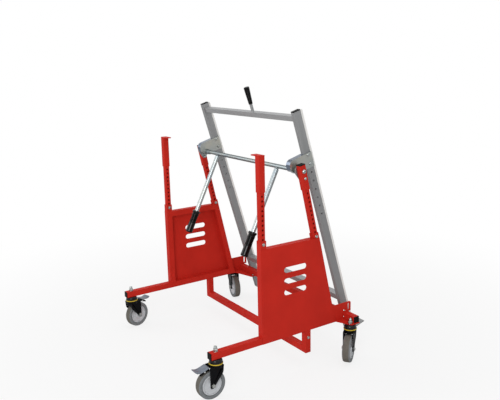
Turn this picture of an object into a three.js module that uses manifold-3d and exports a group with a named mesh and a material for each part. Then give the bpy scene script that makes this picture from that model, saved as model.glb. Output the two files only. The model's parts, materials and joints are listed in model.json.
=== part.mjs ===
// Sheet goods cart: two side frames on swivel casters, height-adjustable posts and a tilting sheet frame.
// Millimetres, +Z up. The operator stands at the front, -Y, and the sheet leans on the rear, +Y.
// Left is -X and right is +X. Heights that end in Rise are measured from the underside of the side frames.
import * as THREE from "three";
import { mergeVertices } from "three/addons/utils/BufferGeometryUtils.js";
import Module from "manifold-3d";

const wasm = await Module();
wasm.setup();

// Clearances
const seat = 0.3; // between pieces that rest on or are fastened to each other
const slip = 0.5; // around a tube that slides in another
const through = 1; // how far a cutting tool runs past the face that it cuts

// Square tube
const tube = 30;
const wall = 2;

// Side frames
const track = 895; // between the centre planes of the side frames
const deck = 175; // floor to the underside of the side frames
const frontPostY = 273.6; // centre of the front post, from the front end of the bottom rail
const frontSocketRise = 472;
const rearPostFootY = 666.5; // where the rear post's centre line meets the underside
const rearPostLean = THREE.MathUtils.degToRad(12.85);
const rearSocketRise = 458;
const panelRise = 435; // top of the panel and of the top rail
const drainDiameter = 6; // hole under the closed top rail
const panelThickness = 2;

// Slots in the side panels
const slotCount = 3;
const slotLength = 124;
const slotHeight = 26;
const slotPitch = 52;
const slotCentreY = 443;
const slotCentreRise = 267;

// Posts
const holePitch = 21;
const holeDiameter = 10;
const holeCount = 14;
const holesRaised = 10; // holes that show above the sockets
const holeInset = 15; // from a tube's end to its first hole
const postInsert = 400; // inner tube below its sleeve
const frontSleeve = 160;
const rearSleeve = 116;
const restThickness = 5;
const restReach = 31; // rest plate, past the inner face of its post
const lockHead = 13; // across the flats
const lockHeadHeight = 6;

// Rear crossbeam and corner brackets
const beamY = 750;
const beamOverhang = 71; // past the outer faces of the side frames
const bracketPlate = 4;
const bracketInward = 122;
const bracketOutward = 80;
const bracketNeck = 34; // length over which the base plate widens
const webRise = 83;
const webPast = 15; // web, past the rear face of the crossbeam
const webSlotWidth = 9;
const webSlotLength = 34;
const webCorner = 8;

// Lower U-frame
const yokeY = 517;
const yokeDrop = 112;
const pegLength = 50;

// End caps
const capThickness = 4;
const capInsert = 12;

// Pivot
const pivotDrop = 28; // below the top of the rear post
const pivotBoltDiameter = 12;
const pivotBoltGrip = 40; // into the bar
const pivotHeadDiameter = 20;
const pivotHeadHeight = 7;
const barDiameter = 20;
const collarDiameter = 27;
const collarWidth = 32;
const flangeThickness = 4;
const flangeEye = 26; // radius round the pivot
const flangeTip = 14; // radius of the lower end
const flangeDrop = 28; // pivot to the centre of the lower end

// Tilting frame, measured from the pivot along and across its rails
const tiltLean = THREE.MathUtils.degToRad(16.5);
const railInset = 45.5; // from a side frame's centre plane to a rail's
const railWidth = 20;
const railDepth = 40;
const railAbove = 247; // rail above the pivot
const railLength = 1161;
const railToe = 14; // rounding of the rail's lower end
const railSolidEnd = 40;
const railHoleTop = 43; // first hole above the pivot
const railHolePitch = 42;
const railHoleCount = 8;
const railHoleDiameter = 9;
const stripThickness = 10;
const upperTube = 25;
const upperTubeInset = 32; // below the top of the rails
const lowerTube = 30;
const lowerTubeHeight = 204; // above the lower end of the rails
const handleOffset = 59;
const handleRod = 15;
const handleNeck = 38;
const handleGripLength = 84;
const handleGripFoot = 17;
const handleGripHead = 24;
const handleGripRim = 3; // rounding of the flat head
const handleGripCover = 8; // grip beyond the end of its rod

// Pivot brackets
const cheek = 4;
const bracketTop = 53; // above the pivot
const bracketReach = 33; // in front of the pivot
const bracketBrow = 24; // radius of the upper front corner
const bracketChin = 16; // lower end of the front edge, above the pivot
const bracketEye = 17; // radius round the pivot
const bracketBolts = 2;

// Push handles
const armSwing = THREE.MathUtils.degToRad(26.4); // forward of straight down
const armSpread = 534;
const armTube = 22;
const stubDiameter = 15;
const stubLength = 75;
const armStart = 14;
const armGripStart = 324;
const armGripLength = 120;
const armGripDiameter = 37;
const armGripCollar = 41;
const armGripCover = 8;

// Sheet rests
const restPlate = 5;
const restWidth = 40;
const restLeg = 50;
const restToe = 70;
const restUp = 11; // above the lower end of the rail

// Casters
const wheelDiameter = 130;
const tyreWidth = 36;
const tyreThickness = 14;
const hubWidth = 40;
const hubBoss = 28;
const axleDiameter = 12;
const axleHead = 18;
const axleHeadHeight = 4;
const trail = 30;
const forkPlate = 5;
const forkEnd = 26;
const crownDiameter = 60;
const crownRise = 6; // over the wheel
const crownHeight = 14;
const sealDiameter = 63;
const sealHeight = 6.5;
const housingDiameter = 58;
const legLead = 25; // leg's upper end, in front of the swivel axis
const legBack = 36; // leg's upper end, behind the swivel axis
const legTaper = 5; // by which the front edge draws in
const legTaperRise = 50; // over the axle
const stemDiameter = 12;
const stemNut = 19;
const stemNutHeight = 10;
const stemTip = 14; // stem above its nut
const stemInFork = 35;
const frontCasterY = 28;
const rearCasterY = 721;
const rearCasterOut = 62; // outward of the side frame's outer face
const pedalPinDiameter = 6;
const pedalPinBack = 62; // behind the swivel axis
const pedalPinOver = 4; // above the top of the wheel
const pedalEar = 4;
const pedalEarGap = 18;
const pedalWidth = 46;
const pedalThickness = 3.5;
const pedalHeel = 20; // plate in front of its pin
const pedalReach = 60; // plate behind its pin
const pedalOver = 12; // plate above its pin
const pedalTipOver = 25; // tip above the pin
const pinRing = 3; // material round the pin
const casterTurns = {
  front_left: THREE.MathUtils.degToRad(-163),
  front_right: 0,
  rear_left: THREE.MathUtils.degToRad(76),
  rear_right: THREE.MathUtils.degToRad(35),
};

// Facets of a full turn
const wheelSides = 24;
const turnedSides = 16;
const rodSides = 12;
const holeSides = 6;

// Sizes that follow from the driving dimensions
const bore = tube - 2 * wall;
const hubDiameter = wheelDiameter - 2 * tyreThickness;
const innerTube = bore - 2 * slip;
const innerBore = innerTube - 2 * wall;
const capPlug = bore - 2 * seat;
const railPlugWidth = railWidth - 2 * wall - 2 * seat;
const railPlugDepth = railDepth - 2 * wall - 2 * seat;
const half = tube / 2;
const frameX = track / 2;
const frameOuter = frameX + half;
const frameInner = frameX - half;
const raised = holesRaised * holePitch + seat;
const rearSocketLength = rearSocketRise / Math.cos(rearPostLean);
const rearPostLength = rearSocketLength + raised + rearSleeve;
const pivotY = rearPostFootY - (rearPostLength - pivotDrop) * Math.sin(rearPostLean);
const pivotZ = deck + (rearPostLength - pivotDrop) * Math.cos(rearPostLean);
const beamBottom = deck + bracketPlate + seat;
const beamTop = beamBottom + tube;
const beamHalf = frameOuter + beamOverhang;
const railX = frameX - railInset;
const barEnd = frameInner - seat;
// The rails lean on the upper rear edge of the crossbeam
const railFront =
  (beamY + half - pivotY) * Math.cos(tiltLean) + (beamTop - pivotZ) * Math.sin(tiltLean) + seat;
const railRear = railFront + railDepth;
const railMiddle = railFront + railDepth / 2;
const railBottom = railAbove - railLength;
const crownBottom = wheelDiameter + crownRise;
const sealBottom = crownBottom + crownHeight;
const pedalPinZ = wheelDiameter + pedalPinOver;
const hands = { left: -1, right: 1 };

// Finishes
const redPaint = { color: 0xb82a23, roughness: 0.42, metalness: 0.1 };
const greyPaint = { color: 0x86888a, roughness: 0.45, metalness: 0.4 };
const zinc = { color: 0xc4cbd0, roughness: 0.28, metalness: 1 };
const blackPlastic = { color: 0x141516, roughness: 0.45, metalness: 0 };
const blackRubber = { color: 0x161616, roughness: 0.6, metalness: 0 };
const whitePlastic = { color: 0xe9e8e4, roughness: 0.5, metalness: 0 };
const tyreGrey = { color: 0x736c66, roughness: 0.75, metalness: 0 };
const hubGrey = { color: 0xa5a8ac, roughness: 0.5, metalness: 0 };
const pedalGrey = { color: 0x8d929a, roughness: 0.4, metalness: 0.6 };

// Closed three.js geometry to a solid that can be joined and cut
function solid(geometry) {
  const bare = geometry.clone();
  bare.deleteAttribute("normal");
  bare.deleteAttribute("uv");
  const merged = mergeVertices(bare, 1e-4);
  const vertProperties = new Float32Array(merged.attributes.position.array);
  const triVerts = new Uint32Array(merged.index.array);
  return new wasm.Manifold(new wasm.Mesh({ numProp: 3, vertProperties, triVerts }));
}

function join(...bodies) {
  return bodies.reduce((whole, body) => whole.add(body));
}

function cut(body, ...tools) {
  return tools.reduce((rest, tool) => rest.subtract(tool), body);
}

function meshOf(name, body, finish) {
  const { vertProperties, triVerts } = body.getMesh();
  const geometry = new THREE.BufferGeometry();
  geometry.setAttribute("position", new THREE.BufferAttribute(vertProperties, 3));
  geometry.setIndex(new THREE.BufferAttribute(triVerts, 1));
  geometry.computeVertexNormals();
  const mesh = new THREE.Mesh(geometry, new THREE.MeshStandardMaterial(finish));
  mesh.name = name;
  return mesh;
}

// A span of the given width about a centre
function about(centre, width) {
  return [centre - width / 2, centre + width / 2];
}

// A span between two distances from the middle plane, on one side of it
function outwards(hand, from, to) {
  return hand > 0 ? [from, to] : [-to, -from];
}

function block(x, y, z) {
  const geometry = new THREE.BoxGeometry(x[1] - x[0], y[1] - y[0], z[1] - z[0]);
  geometry.translate((x[0] + x[1]) / 2, (y[0] + y[1]) / 2, (z[0] + z[1]) / 2);
  return solid(geometry);
}

function polygon(points) {
  return new THREE.Shape(points.map(([a, b]) => new THREE.Vector2(a, b)));
}

// An outline in Y and Z, drawn out along X
function prism(shape, x, curveSegments = 5) {
  const depth = x[1] - x[0];
  const geometry = new THREE.ExtrudeGeometry(shape, { depth, curveSegments, bevelEnabled: false });
  const axes = new THREE.Matrix4().makeBasis(
    new THREE.Vector3(0, 1, 0),
    new THREE.Vector3(0, 0, 1),
    new THREE.Vector3(1, 0, 0),
  );
  geometry.applyMatrix4(axes);
  geometry.translate(x[0], 0, 0);
  return solid(indexed(geometry));
}

// An outline in X and Y, drawn out along Z
function plate(shape, z, curveSegments = 5) {
  const depth = z[1] - z[0];
  const geometry = new THREE.ExtrudeGeometry(shape, { depth, curveSegments, bevelEnabled: false });
  geometry.translate(0, 0, z[0]);
  return solid(indexed(geometry));
}

function indexed(geometry) {
  return geometry.index ? geometry : mergeVertices(geometry);
}

function rodZ(diameter, x, y, z, sides = rodSides) {
  const geometry = new THREE.CylinderGeometry(diameter / 2, diameter / 2, z[1] - z[0], sides);
  geometry.rotateX(Math.PI / 2);
  geometry.translate(x, y, (z[0] + z[1]) / 2);
  return solid(geometry);
}

function rodX(diameter, x, y, z, sides = rodSides) {
  const geometry = new THREE.CylinderGeometry(diameter / 2, diameter / 2, x[1] - x[0], sides);
  geometry.rotateZ(Math.PI / 2);
  geometry.translate((x[0] + x[1]) / 2, y, z);
  return solid(geometry);
}

// A nut or bolt head, given across its flats
function hexagon(flats) {
  return (2 * flats) / Math.sqrt(3);
}

// A profile of radius and height, turned about Z
function turned(profile, sides = turnedSides) {
  const points = profile.map(([radius, height]) => new THREE.Vector2(radius, height));
  const geometry = new THREE.LatheGeometry(points, sides);
  geometry.rotateX(Math.PI / 2);
  return solid(geometry);
}

function closed(profile) {
  return [...profile, profile[0]];
}

function turnX(body) {
  return body.rotate([0, 90, 0]);
}

// A slot with round ends, in Y and Z
function slotShape(length, height, y, z, upright = false) {
  const shape = new THREE.Shape();
  const reach = (length - height) / 2;
  const radius = height / 2;
  const quarter = Math.PI / 2;
  const turn = upright ? quarter : 0;
  const [dy, dz] = upright ? [0, reach] : [reach, 0];
  shape.absarc(y + dy, z + dz, radius, turn - quarter, turn + quarter, false);
  shape.absarc(y - dy, z - dz, radius, turn + quarter, turn + 3 * quarter, false);
  return shape;
}

// Y of a face of the slanted rear post at a height over the underside, offset from its centre line
function rearPostY(rise, offset) {
  return rearPostFootY - rise * Math.tan(rearPostLean) + offset / Math.cos(rearPostLean);
}

// The slanted rear socket or its bore, from one height on the centre line to its square upper end
function rearSocket(x, width, fromRise, length) {
  const along = new THREE.Vector2(-Math.sin(rearPostLean), Math.cos(rearPostLean));
  const across = new THREE.Vector2(Math.cos(rearPostLean), Math.sin(rearPostLean));
  const end = new THREE.Vector2(rearPostFootY, deck).addScaledVector(along, length);
  const rear = end.clone().addScaledVector(across, width / 2);
  const front = end.clone().addScaledVector(across, -width / 2);
  const shape = polygon([
    [rearPostY(fromRise, -width / 2), deck + fromRise],
    [rearPostY(fromRise, width / 2), deck + fromRise],
    [rear.x, rear.y],
    [front.x, front.y],
  ]);
  return prism(shape, x);
}

// Where a lock bolt crosses the rear socket
function rearLock() {
  const length = rearSocketLength - holeInset;
  return {
    y: rearPostFootY - length * Math.sin(rearPostLean),
    z: deck + length * Math.cos(rearPostLean),
  };
}

function frontLock() {
  return { y: frontPostY, z: deck + frontSocketRise - holeInset };
}

function sideFrame(hand) {
  const x = hand * frameX;
  const outside = about(x, tube);
  const inside = about(x, bore);
  const postY = about(frontPostY, tube);
  const rail = block(outside, [0, rearPostFootY], [deck, deck + tube]);
  const topRailZ = [deck + panelRise - tube, deck + panelRise];
  const topRail = block(outside, [frontPostY, rearPostY(panelRise, 0)], topRailZ);
  const frontSocket = block(outside, postY, [deck, deck + frontSocketRise]);
  const slanted = rearSocket(outside, tube, 0, rearSocketLength);
  const peg = block(about(x, innerTube), about(yokeY, innerTube), [deck - pegLength, deck + wall]);
  const railBoreEnd = rearPostY(tube, -half);
  const railBore = block(inside, [-through, railBoreEnd], [deck + wall, deck + tube - wall]);
  const topBoreY = [frontPostY + half, rearPostY(panelRise, -half)];
  const topBore = block(inside, topBoreY, [topRailZ[0] + wall, topRailZ[1] - wall]);
  const underside = [topRailZ[0] - through, topRailZ[0] + wall + through];
  const drain = rodZ(drainDiameter, x, frontPostY + tube, underside);
  const frontBore = block(inside, about(frontPostY, bore), [deck + tube, deck + frontSocketRise + through]);
  const rearBore = rearSocket(inside, bore, tube, rearSocketLength + through);
  const stemHole = rodZ(stemDiameter + 2 * seat, x, frontCasterY, [deck - through, deck + tube + through]);
  const lockHoles = [frontLock(), rearLock()].map(({ y, z }) =>
    rodX(holeDiameter, about(x, tube + 2 * through), y, z, holeSides),
  );
  const welded = join(rail, topRail, frontSocket, slanted, peg);
  return cut(welded, railBore, topBore, drain, frontBore, rearBore, stemHole, ...lockHoles);
}

function sidePanel(hand) {
  const x = outwards(hand, frameOuter + seat, frameOuter + seat + panelThickness);
  const sheet = polygon([
    [frontPostY - half, deck],
    [rearPostY(0, half), deck],
    [rearPostY(panelRise, half), deck + panelRise],
    [frontPostY - half, deck + panelRise],
  ]);
  for (let i = 0; i < slotCount; i += 1) {
    const rise = slotCentreRise + (i - (slotCount - 1) / 2) * slotPitch;
    sheet.holes.push(slotShape(slotLength, slotHeight, slotCentreY, deck + rise));
  }
  return prism(sheet, x);
}

// Hexagon head on the outer face of a socket, with a stub through the wall
function lockBolt(hand, { y, z }) {
  const face = frameOuter + seat;
  const tip = frameX + innerTube / 2 + seat;
  const head = rodX(hexagon(lockHead), outwards(hand, face, face + lockHeadHeight), y, z, 6);
  const stub = rodX(holeDiameter - 2 * seat, outwards(hand, tip, face + lockHeadHeight / 2), y, z, holeSides);
  return join(head, stub);
}

// Inner tube with its row of holes and welded sleeve, upright from the lower end of its socket
function perforatedPost(x, socketLength, sleeve) {
  const sleeveBottom = socketLength + raised;
  const top = sleeveBottom + sleeve;
  const foot = sleeveBottom - postInsert;
  const shaft = block(about(x, innerTube), about(0, innerTube), [foot, top]);
  const cover = block(about(x, tube), about(0, tube), [sleeveBottom, top]);
  const hollow = block(about(x, innerBore), about(0, innerBore), [foot - through, top + through]);
  const holes = Array.from({ length: holeCount }, (_, i) => {
    const z = sleeveBottom - holeInset - i * holePitch;
    return rodX(holeDiameter, about(x, tube), 0, z, holeSides);
  });
  return cut(join(shaft, cover), hollow, ...holes);
}

// The front post ends in a rest plate that reaches inwards under the tilting frame
function frontPost(hand) {
  const x = hand * frameX;
  const top = frontSocketRise + raised + frontSleeve;
  const rest = block(
    outwards(hand, frameInner - restReach, frameOuter),
    about(0, tube),
    [top - restThickness, top],
  );
  return join(perforatedPost(x, frontSocketRise, frontSleeve), rest);
}

function rearPost(hand) {
  const x = hand * frameX;
  const drill = pivotBoltDiameter + 2 * seat;
  const pivotHole = rodX(drill, about(x, tube + 2 * through), 0, rearPostLength - pivotDrop);
  return cut(perforatedPost(x, rearSocketLength, rearSleeve), pivotHole);
}

// Plug with a flat head, pointing along +Z from the tube's end at the origin
function endCap(width, depth, plugWidth, plugDepth) {
  const head = block(about(0, width), about(0, depth), [seat, seat + capThickness]);
  const plug = block(about(0, plugWidth), about(0, plugDepth), [-capInsert, seat + capThickness / 2]);
  return join(head, plug);
}

function pivotBolt(hand) {
  const face = frameOuter + seat;
  const tip = barEnd - pivotBoltGrip + seat;
  const shank = rodX(pivotBoltDiameter, outwards(hand, tip, face + pivotHeadHeight / 2), 0, 0);
  const radius = pivotHeadDiameter / 2;
  const dome = turned([
    [0, 0],
    [radius, 0],
    [radius * 0.94, pivotHeadHeight * 0.45],
    [radius * 0.6, pivotHeadHeight * 0.88],
    [0, pivotHeadHeight],
  ]);
  return join(shank, dome.rotate([0, hand * 90, 0]).translate([hand * face, 0, 0]));
}

function crossbeam() {
  const length = 2 * beamHalf;
  const middleZ = beamBottom + half;
  const outside = block(about(0, length), about(beamY, tube), about(middleZ, tube));
  const inside = block(about(0, length + 2 * through), about(beamY, bore), about(middleZ, bore));
  return cut(outside, inside);
}

// Base plate that carries the rear caster, and an upright web notched over the crossbeam
function cornerBracket(hand) {
  const start = rearPostY(0, half) + seat;
  const rear = beamY + half;
  const inner = frameInner - bracketInward;
  const outer = frameOuter + bracketOutward;
  const base = polygon(
    [
      [frameInner, start],
      [frameOuter, start],
      [outer, start + bracketNeck],
      [outer, rear],
      [inner, rear],
      [inner, start + bracketNeck],
    ].map(([x, y]) => [hand * x, y]),
  );
  const lean = Math.tan(rearPostLean);
  const notch = beamTop + seat;
  const webTop = deck + webRise;
  const end = rear + webPast;
  const web = new THREE.Shape();
  web.moveTo(start, deck);
  web.lineTo(beamY - half - seat, deck);
  web.lineTo(beamY - half - seat, notch);
  web.lineTo(end, notch);
  web.lineTo(end, webTop - webCorner);
  web.absarc(end - webCorner, webTop - webCorner, webCorner, 0, Math.PI / 2, false);
  web.lineTo(start - webRise * lean, webTop);
  const slotZ = notch + (webTop - notch) / 2;
  web.holes.push(slotShape(webSlotLength, webSlotWidth, rear, slotZ, true));
  const upright = prism(web, outwards(hand, frameOuter - bracketPlate, frameOuter));
  const stemX = hand * (frameOuter + rearCasterOut);
  const holeSpan = [deck - through, deck + bracketPlate + through];
  const hole = rodZ(stemDiameter + 2 * seat, stemX, rearCasterY, holeSpan);
  return cut(join(plate(base, [deck, deck + bracketPlate]), upright), hole);
}

function yoke() {
  const bottom = deck - yokeDrop;
  const top = deck - seat;
  const length = 2 * frameOuter;
  const bar = block(about(0, length), about(yokeY, tube), about(bottom + half, tube));
  const barBore = block(about(0, length - 2 * wall), about(yokeY, bore), about(bottom + half, bore));
  const legs = Object.values(hands).map((hand) =>
    block(about(hand * frameX, tube), about(yokeY, tube), [bottom, top]),
  );
  const legBores = Object.values(hands).map((hand) =>
    block(about(hand * frameX, bore), about(yokeY, bore), [bottom + wall, top + through]),
  );
  return cut(join(bar, ...legs), barBore, ...legBores);
}

function tiltRail(hand) {
  const x = hand * railX;
  const shape = new THREE.Shape();
  shape.moveTo(railRear, railAbove);
  shape.lineTo(railFront, railAbove);
  shape.lineTo(railFront, railBottom + railToe);
  shape.absarc(railFront + railToe, railBottom + railToe, railToe, Math.PI, 1.5 * Math.PI, false);
  shape.absarc(railRear - railToe, railBottom + railToe, railToe, 1.5 * Math.PI, 2 * Math.PI, false);
  const hollow = block(
    about(x, railWidth - 2 * wall),
    about(railMiddle, railDepth - 2 * wall),
    [railBottom + railSolidEnd, railAbove + through],
  );
  const holes = Array.from({ length: railHoleCount }, (_, i) => {
    const z = railHoleTop - i * railHolePitch;
    return rodX(railHoleDiameter, about(x, railWidth + 2 * through), railMiddle, z, holeSides);
  });
  return cut(prism(shape, about(x, railWidth)), hollow, ...holes);
}

function wearStrip(hand) {
  const bottom = railBottom + restUp + restLeg + seat;
  return block(
    about(hand * railX, railWidth),
    [railRear + seat, railRear + seat + stripThickness],
    [bottom, railAbove],
  );
}

// Angle at the foot of a rail: one leg on the rail's rear face, and a toe that the sheet stands on
function sheetRest(hand) {
  const back = railRear + seat;
  const foot = railBottom + restUp;
  const angle = polygon([
    [back, foot],
    [back + restToe, foot],
    [back + restToe, foot + restPlate],
    [back + restPlate, foot + restPlate],
    [back + restPlate, foot + restLeg],
    [back, foot + restLeg],
  ]);
  return prism(angle, about(hand * railX, restWidth));
}

function crossTube(size, z) {
  const length = 2 * railX - railWidth - 2 * seat;
  const hollow = size - 2 * wall;
  const outside = block(about(0, length), about(railMiddle, size), about(z, size));
  const inside = block(about(0, length + 2 * through), about(railMiddle, hollow), about(z, hollow));
  return cut(outside, inside);
}

function upperCrossTube() {
  const z = railAbove - upperTubeInset;
  const foot = z + upperTube / 2 - wall;
  const rodTop = z + upperTube / 2 + handleNeck + handleGripLength - handleGripCover;
  return join(crossTube(upperTube, z), rodZ(handleRod, handleOffset, railMiddle, [foot, rodTop]));
}

// Tapered grip with a flat head, closed over the end of its rod
function handleGrip() {
  const bottom = railAbove - upperTubeInset + upperTube / 2 + handleNeck;
  const top = bottom + handleGripLength;
  const rodRadius = handleRod / 2 + seat;
  const socketTop = top - handleGripCover + seat;
  const head = handleGripHead / 2;
  const grip = turned([
    [0, socketTop],
    [rodRadius, socketTop],
    [rodRadius, bottom],
    [handleGripFoot / 2 + 0.5, bottom],
    [head, top - handleGripRim],
    [head - handleGripRim * 0.3, top - handleGripRim * 0.3],
    [head - handleGripRim, top],
    [0, top],
  ]);
  return grip.translate([handleOffset, railMiddle, 0]);
}

// Bent plate: two cheeks on the sides of the rail, joined by a web over the top and round the nose
function pivotBracket(hand) {
  const x = hand * railX;
  const inner = railWidth + 2 * seat;
  const outer = inner + 2 * cheek;
  const front = -bracketReach;
  const slope = Math.atan2(bracketChin, front) + Math.acos(bracketEye / Math.hypot(front, bracketChin));
  const along = new THREE.Vector2(-Math.sin(slope), Math.cos(slope));
  const profile = (inset, rear) => {
    const touch = new THREE.Vector2(Math.cos(slope), Math.sin(slope)).multiplyScalar(bracketEye - inset);
    const chin = touch.clone().addScaledVector(along, (front + inset - touch.x) / along.x);
    const shape = new THREE.Shape();
    shape.moveTo(rear, bracketTop - inset);
    shape.lineTo(front + bracketBrow, bracketTop - inset);
    const brow = { y: front + bracketBrow, z: bracketTop - bracketBrow };
    shape.absarc(brow.y, brow.z, bracketBrow - inset, Math.PI / 2, Math.PI, false);
    shape.lineTo(chin.x, chin.y);
    shape.lineTo(touch.x, touch.y);
    return { shape, touch };
  };
  const plateOutline = profile(0, railRear).shape;
  plateOutline.absarc(0, 0, bracketEye, slope, 1.5 * Math.PI, false);
  plateOutline.lineTo(railRear, -bracketEye);
  const pocketBottom = -bracketEye - through;
  const { shape: pocketOutline, touch } = profile(cheek, railRear + through);
  const mouth = touch.clone().addScaledVector(along, (pocketBottom - touch.y) / along.y);
  pocketOutline.lineTo(mouth.x, mouth.y);
  pocketOutline.lineTo(railRear + through, pocketBottom);
  const railSlot = block(
    about(x, inner),
    [railFront - seat, railRear + through],
    [pocketBottom, bracketTop + through],
  );
  const barHole = rodX(barDiameter + 2 * seat, about(x, outer + 2 * through), 0, 0, turnedSides);
  const boltHoles = Array.from({ length: bracketBolts }, (_, i) => {
    const z = railHoleTop - i * railHolePitch;
    return rodX(railHoleDiameter, about(x, outer + 2 * through), railMiddle, z, holeSides);
  });
  const pocket = prism(pocketOutline, about(x, inner));
  return cut(prism(plateOutline, about(x, outer)), pocket, railSlot, barHole, ...boltHoles);
}

// Flange at an end of the bar: an eye round the pivot that narrows down the post
function barFlange(hand) {
  const slope = Math.asin((flangeEye - flangeTip) / flangeDrop);
  const shape = new THREE.Shape();
  shape.absarc(0, 0, flangeEye, -slope, Math.PI + slope, false);
  shape.absarc(0, -flangeDrop, flangeTip, Math.PI + slope, 2 * Math.PI - slope, false);
  const flange = prism(shape, outwards(hand, barEnd - flangeThickness, barEnd), 8);
  return flange.rotate([THREE.MathUtils.radToDeg(rearPostLean), 0, 0]);
}

// Bar bolted between the rear posts, drilled at its ends, with flanges, collars and two welded stubs
function pivotBar() {
  const bar = rodX(barDiameter, [-barEnd, barEnd], 0, 0, turnedSides);
  const collarFace = railX - railWidth / 2 - 2 * seat - cheek;
  const pieces = Object.values(hands).flatMap((hand) => {
    const collarX = outwards(hand, collarFace - collarWidth, collarFace);
    const collar = rodX(collarDiameter, collarX, 0, 0, turnedSides);
    const stub = rodZ(stubDiameter, 0, 0, [-stubLength, 0]);
    const aimed = stub.rotate([-THREE.MathUtils.radToDeg(armSwing), 0, 0]);
    return [collar, barFlange(hand), aimed.translate([(hand * armSpread) / 2, 0, 0])];
  });
  const bores = Object.values(hands).map((hand) =>
    rodX(pivotBoltDiameter + 2 * seat, outwards(hand, barEnd - pivotBoltGrip, barEnd + through), 0, 0),
  );
  return cut(join(bar, ...pieces), ...bores);
}

// Arm tube that plugs over its stub, along -Z from the bar
function pushHandle() {
  const end = armGripStart + armGripLength - armGripCover;
  const outside = rodZ(armTube, 0, 0, [-end, -armStart], turnedSides);
  return cut(outside, rodZ(stubDiameter + 2 * seat, 0, 0, [-end - through, 0]));
}

function pushGrip() {
  const top = -armGripStart;
  const end = top - armGripLength;
  const socketEnd = end + armGripCover - seat;
  const tubeRadius = armTube / 2 + seat;
  const body = armGripDiameter / 2;
  const collar = armGripCollar / 2;
  return turned([
    [0, end],
    [body - 5, end],
    [body - 1.2, end + 4],
    [body - 0.5, end + 12],
    [body - 1.5, end + armGripLength * 0.45],
    [body - 0.5, top - 16],
    [collar, top - 12],
    [collar, top - 3],
    [collar - 3, top],
    [tubeRadius, top],
    [tubeRadius, socketEnd],
    [0, socketEnd],
  ]);
}

// Swivel housing, seal ring, crown and tapered legs round the wheel, with the axle; the wheel trails along -Y
function casterFork(braked) {
  const stemHole = stemDiameter / 2 + seat;
  const top = deck - seat;
  const seal = sealBottom + sealHeight;
  const housing = housingDiameter / 2;
  const crown = turned(
    closed([
      [stemHole, crownBottom],
      [crownDiameter / 2, crownBottom],
      [crownDiameter / 2, sealBottom],
      [sealDiameter / 2, sealBottom],
      [sealDiameter / 2, seal],
      [housing, seal],
      [housing - 5, top],
      [stemHole, top],
    ]),
  );
  const axleZ = wheelDiameter / 2;
  const legFace = hubWidth / 2 + slip;
  const leg = new THREE.Shape();
  leg.moveTo(legLead, sealBottom);
  leg.lineTo(-legBack, sealBottom);
  leg.absarc(-trail, axleZ, forkEnd / 2, Math.PI, 2 * Math.PI, false);
  leg.lineTo(legLead - legTaper, axleZ + legTaperRise);
  const legs = Object.values(hands).map((hand) => prism(leg, outwards(hand, legFace, legFace + forkPlate)));
  const axleEnd = legFace + forkPlate;
  const axle = rodX(axleDiameter, [-axleEnd, axleEnd], -trail, axleZ);
  const heads = Object.values(hands).map((hand) =>
    rodX(axleHead, outwards(hand, axleEnd - through, axleEnd + axleHeadHeight), -trail, axleZ),
  );
  const ears = braked ? brakeEars() : [];
  return join(crown, ...legs, axle, ...heads, ...ears);
}

// Two ears and a pin behind the crown, over the wheel
function brakeEars() {
  const radius = pedalPinDiameter / 2 + pinRing;
  const ear = new THREE.Shape();
  ear.moveTo(-trail / 2, sealBottom);
  ear.lineTo(-pedalPinBack, pedalPinZ + radius);
  ear.absarc(-pedalPinBack, pedalPinZ, radius, Math.PI / 2, 1.5 * Math.PI, false);
  ear.lineTo(-trail, crownBottom);
  ear.lineTo(-trail / 2, crownBottom);
  const gap = pedalEarGap / 2;
  const plates = Object.values(hands).map((hand) => prism(ear, outwards(hand, gap, gap + pedalEar), 4));
  const pin = rodX(pedalPinDiameter, about(0, pedalEarGap + pedalEar), -pedalPinBack, pedalPinZ);
  return [...plates, pin];
}

// Pressed pedal plate that curves up to its tip, on a lug round the pin
function brakePedal() {
  const upper = new THREE.SplineCurve(
    [
      [pedalPinBack - pedalHeel * 0.95, pedalOver * 1.5],
      [pedalPinBack + pedalReach * 0.22, pedalOver],
      [pedalPinBack + pedalReach * 0.63, pedalOver * 1.25],
      [pedalPinBack + pedalReach * 0.98, pedalTipOver],
    ].map(([back, over]) => new THREE.Vector2(-back, pedalPinZ + over)),
  ).getPoints(9);
  const lower = upper.map((point) => new THREE.Vector2(point.x, point.y - pedalThickness)).reverse();
  const band = prism(new THREE.Shape([...upper, ...lower]), about(0, pedalWidth));
  const leaf = new THREE.Shape();
  const root = -(pedalPinBack - pedalHeel);
  const tip = -(pedalPinBack + pedalReach);
  const waist = tip + pedalReach * 0.47;
  const wide = pedalWidth / 2;
  leaf.moveTo(wide * 0.6, root);
  leaf.bezierCurveTo(wide * 1.25, root - pedalHeel, wide * 1.1, waist, wide * 0.4, tip);
  leaf.lineTo(-wide * 0.4, tip);
  leaf.bezierCurveTo(-wide * 1.1, waist, -wide * 1.25, root - pedalHeel, -wide * 0.6, root);
  const pressed = band.intersect(plate(leaf, [pedalPinZ, pedalPinZ + 2 * pedalTipOver], 8));
  const radius = pedalPinDiameter / 2 + pinRing;
  const lugX = about(0, pedalEarGap - 2 * seat);
  const lug = new THREE.Shape();
  lug.absarc(-pedalPinBack, pedalPinZ, radius, Math.PI, 2 * Math.PI, false);
  lug.lineTo(-pedalPinBack + radius, pedalPinZ + pedalOver);
  lug.lineTo(-pedalPinBack - radius, pedalPinZ + pedalOver * 0.92);
  const pinHole = rodX(pedalPinDiameter + 2 * seat, about(0, pedalEarGap), -pedalPinBack, pedalPinZ);
  return cut(join(pressed, prism(lug, lugX)), pinHole);
}

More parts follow.
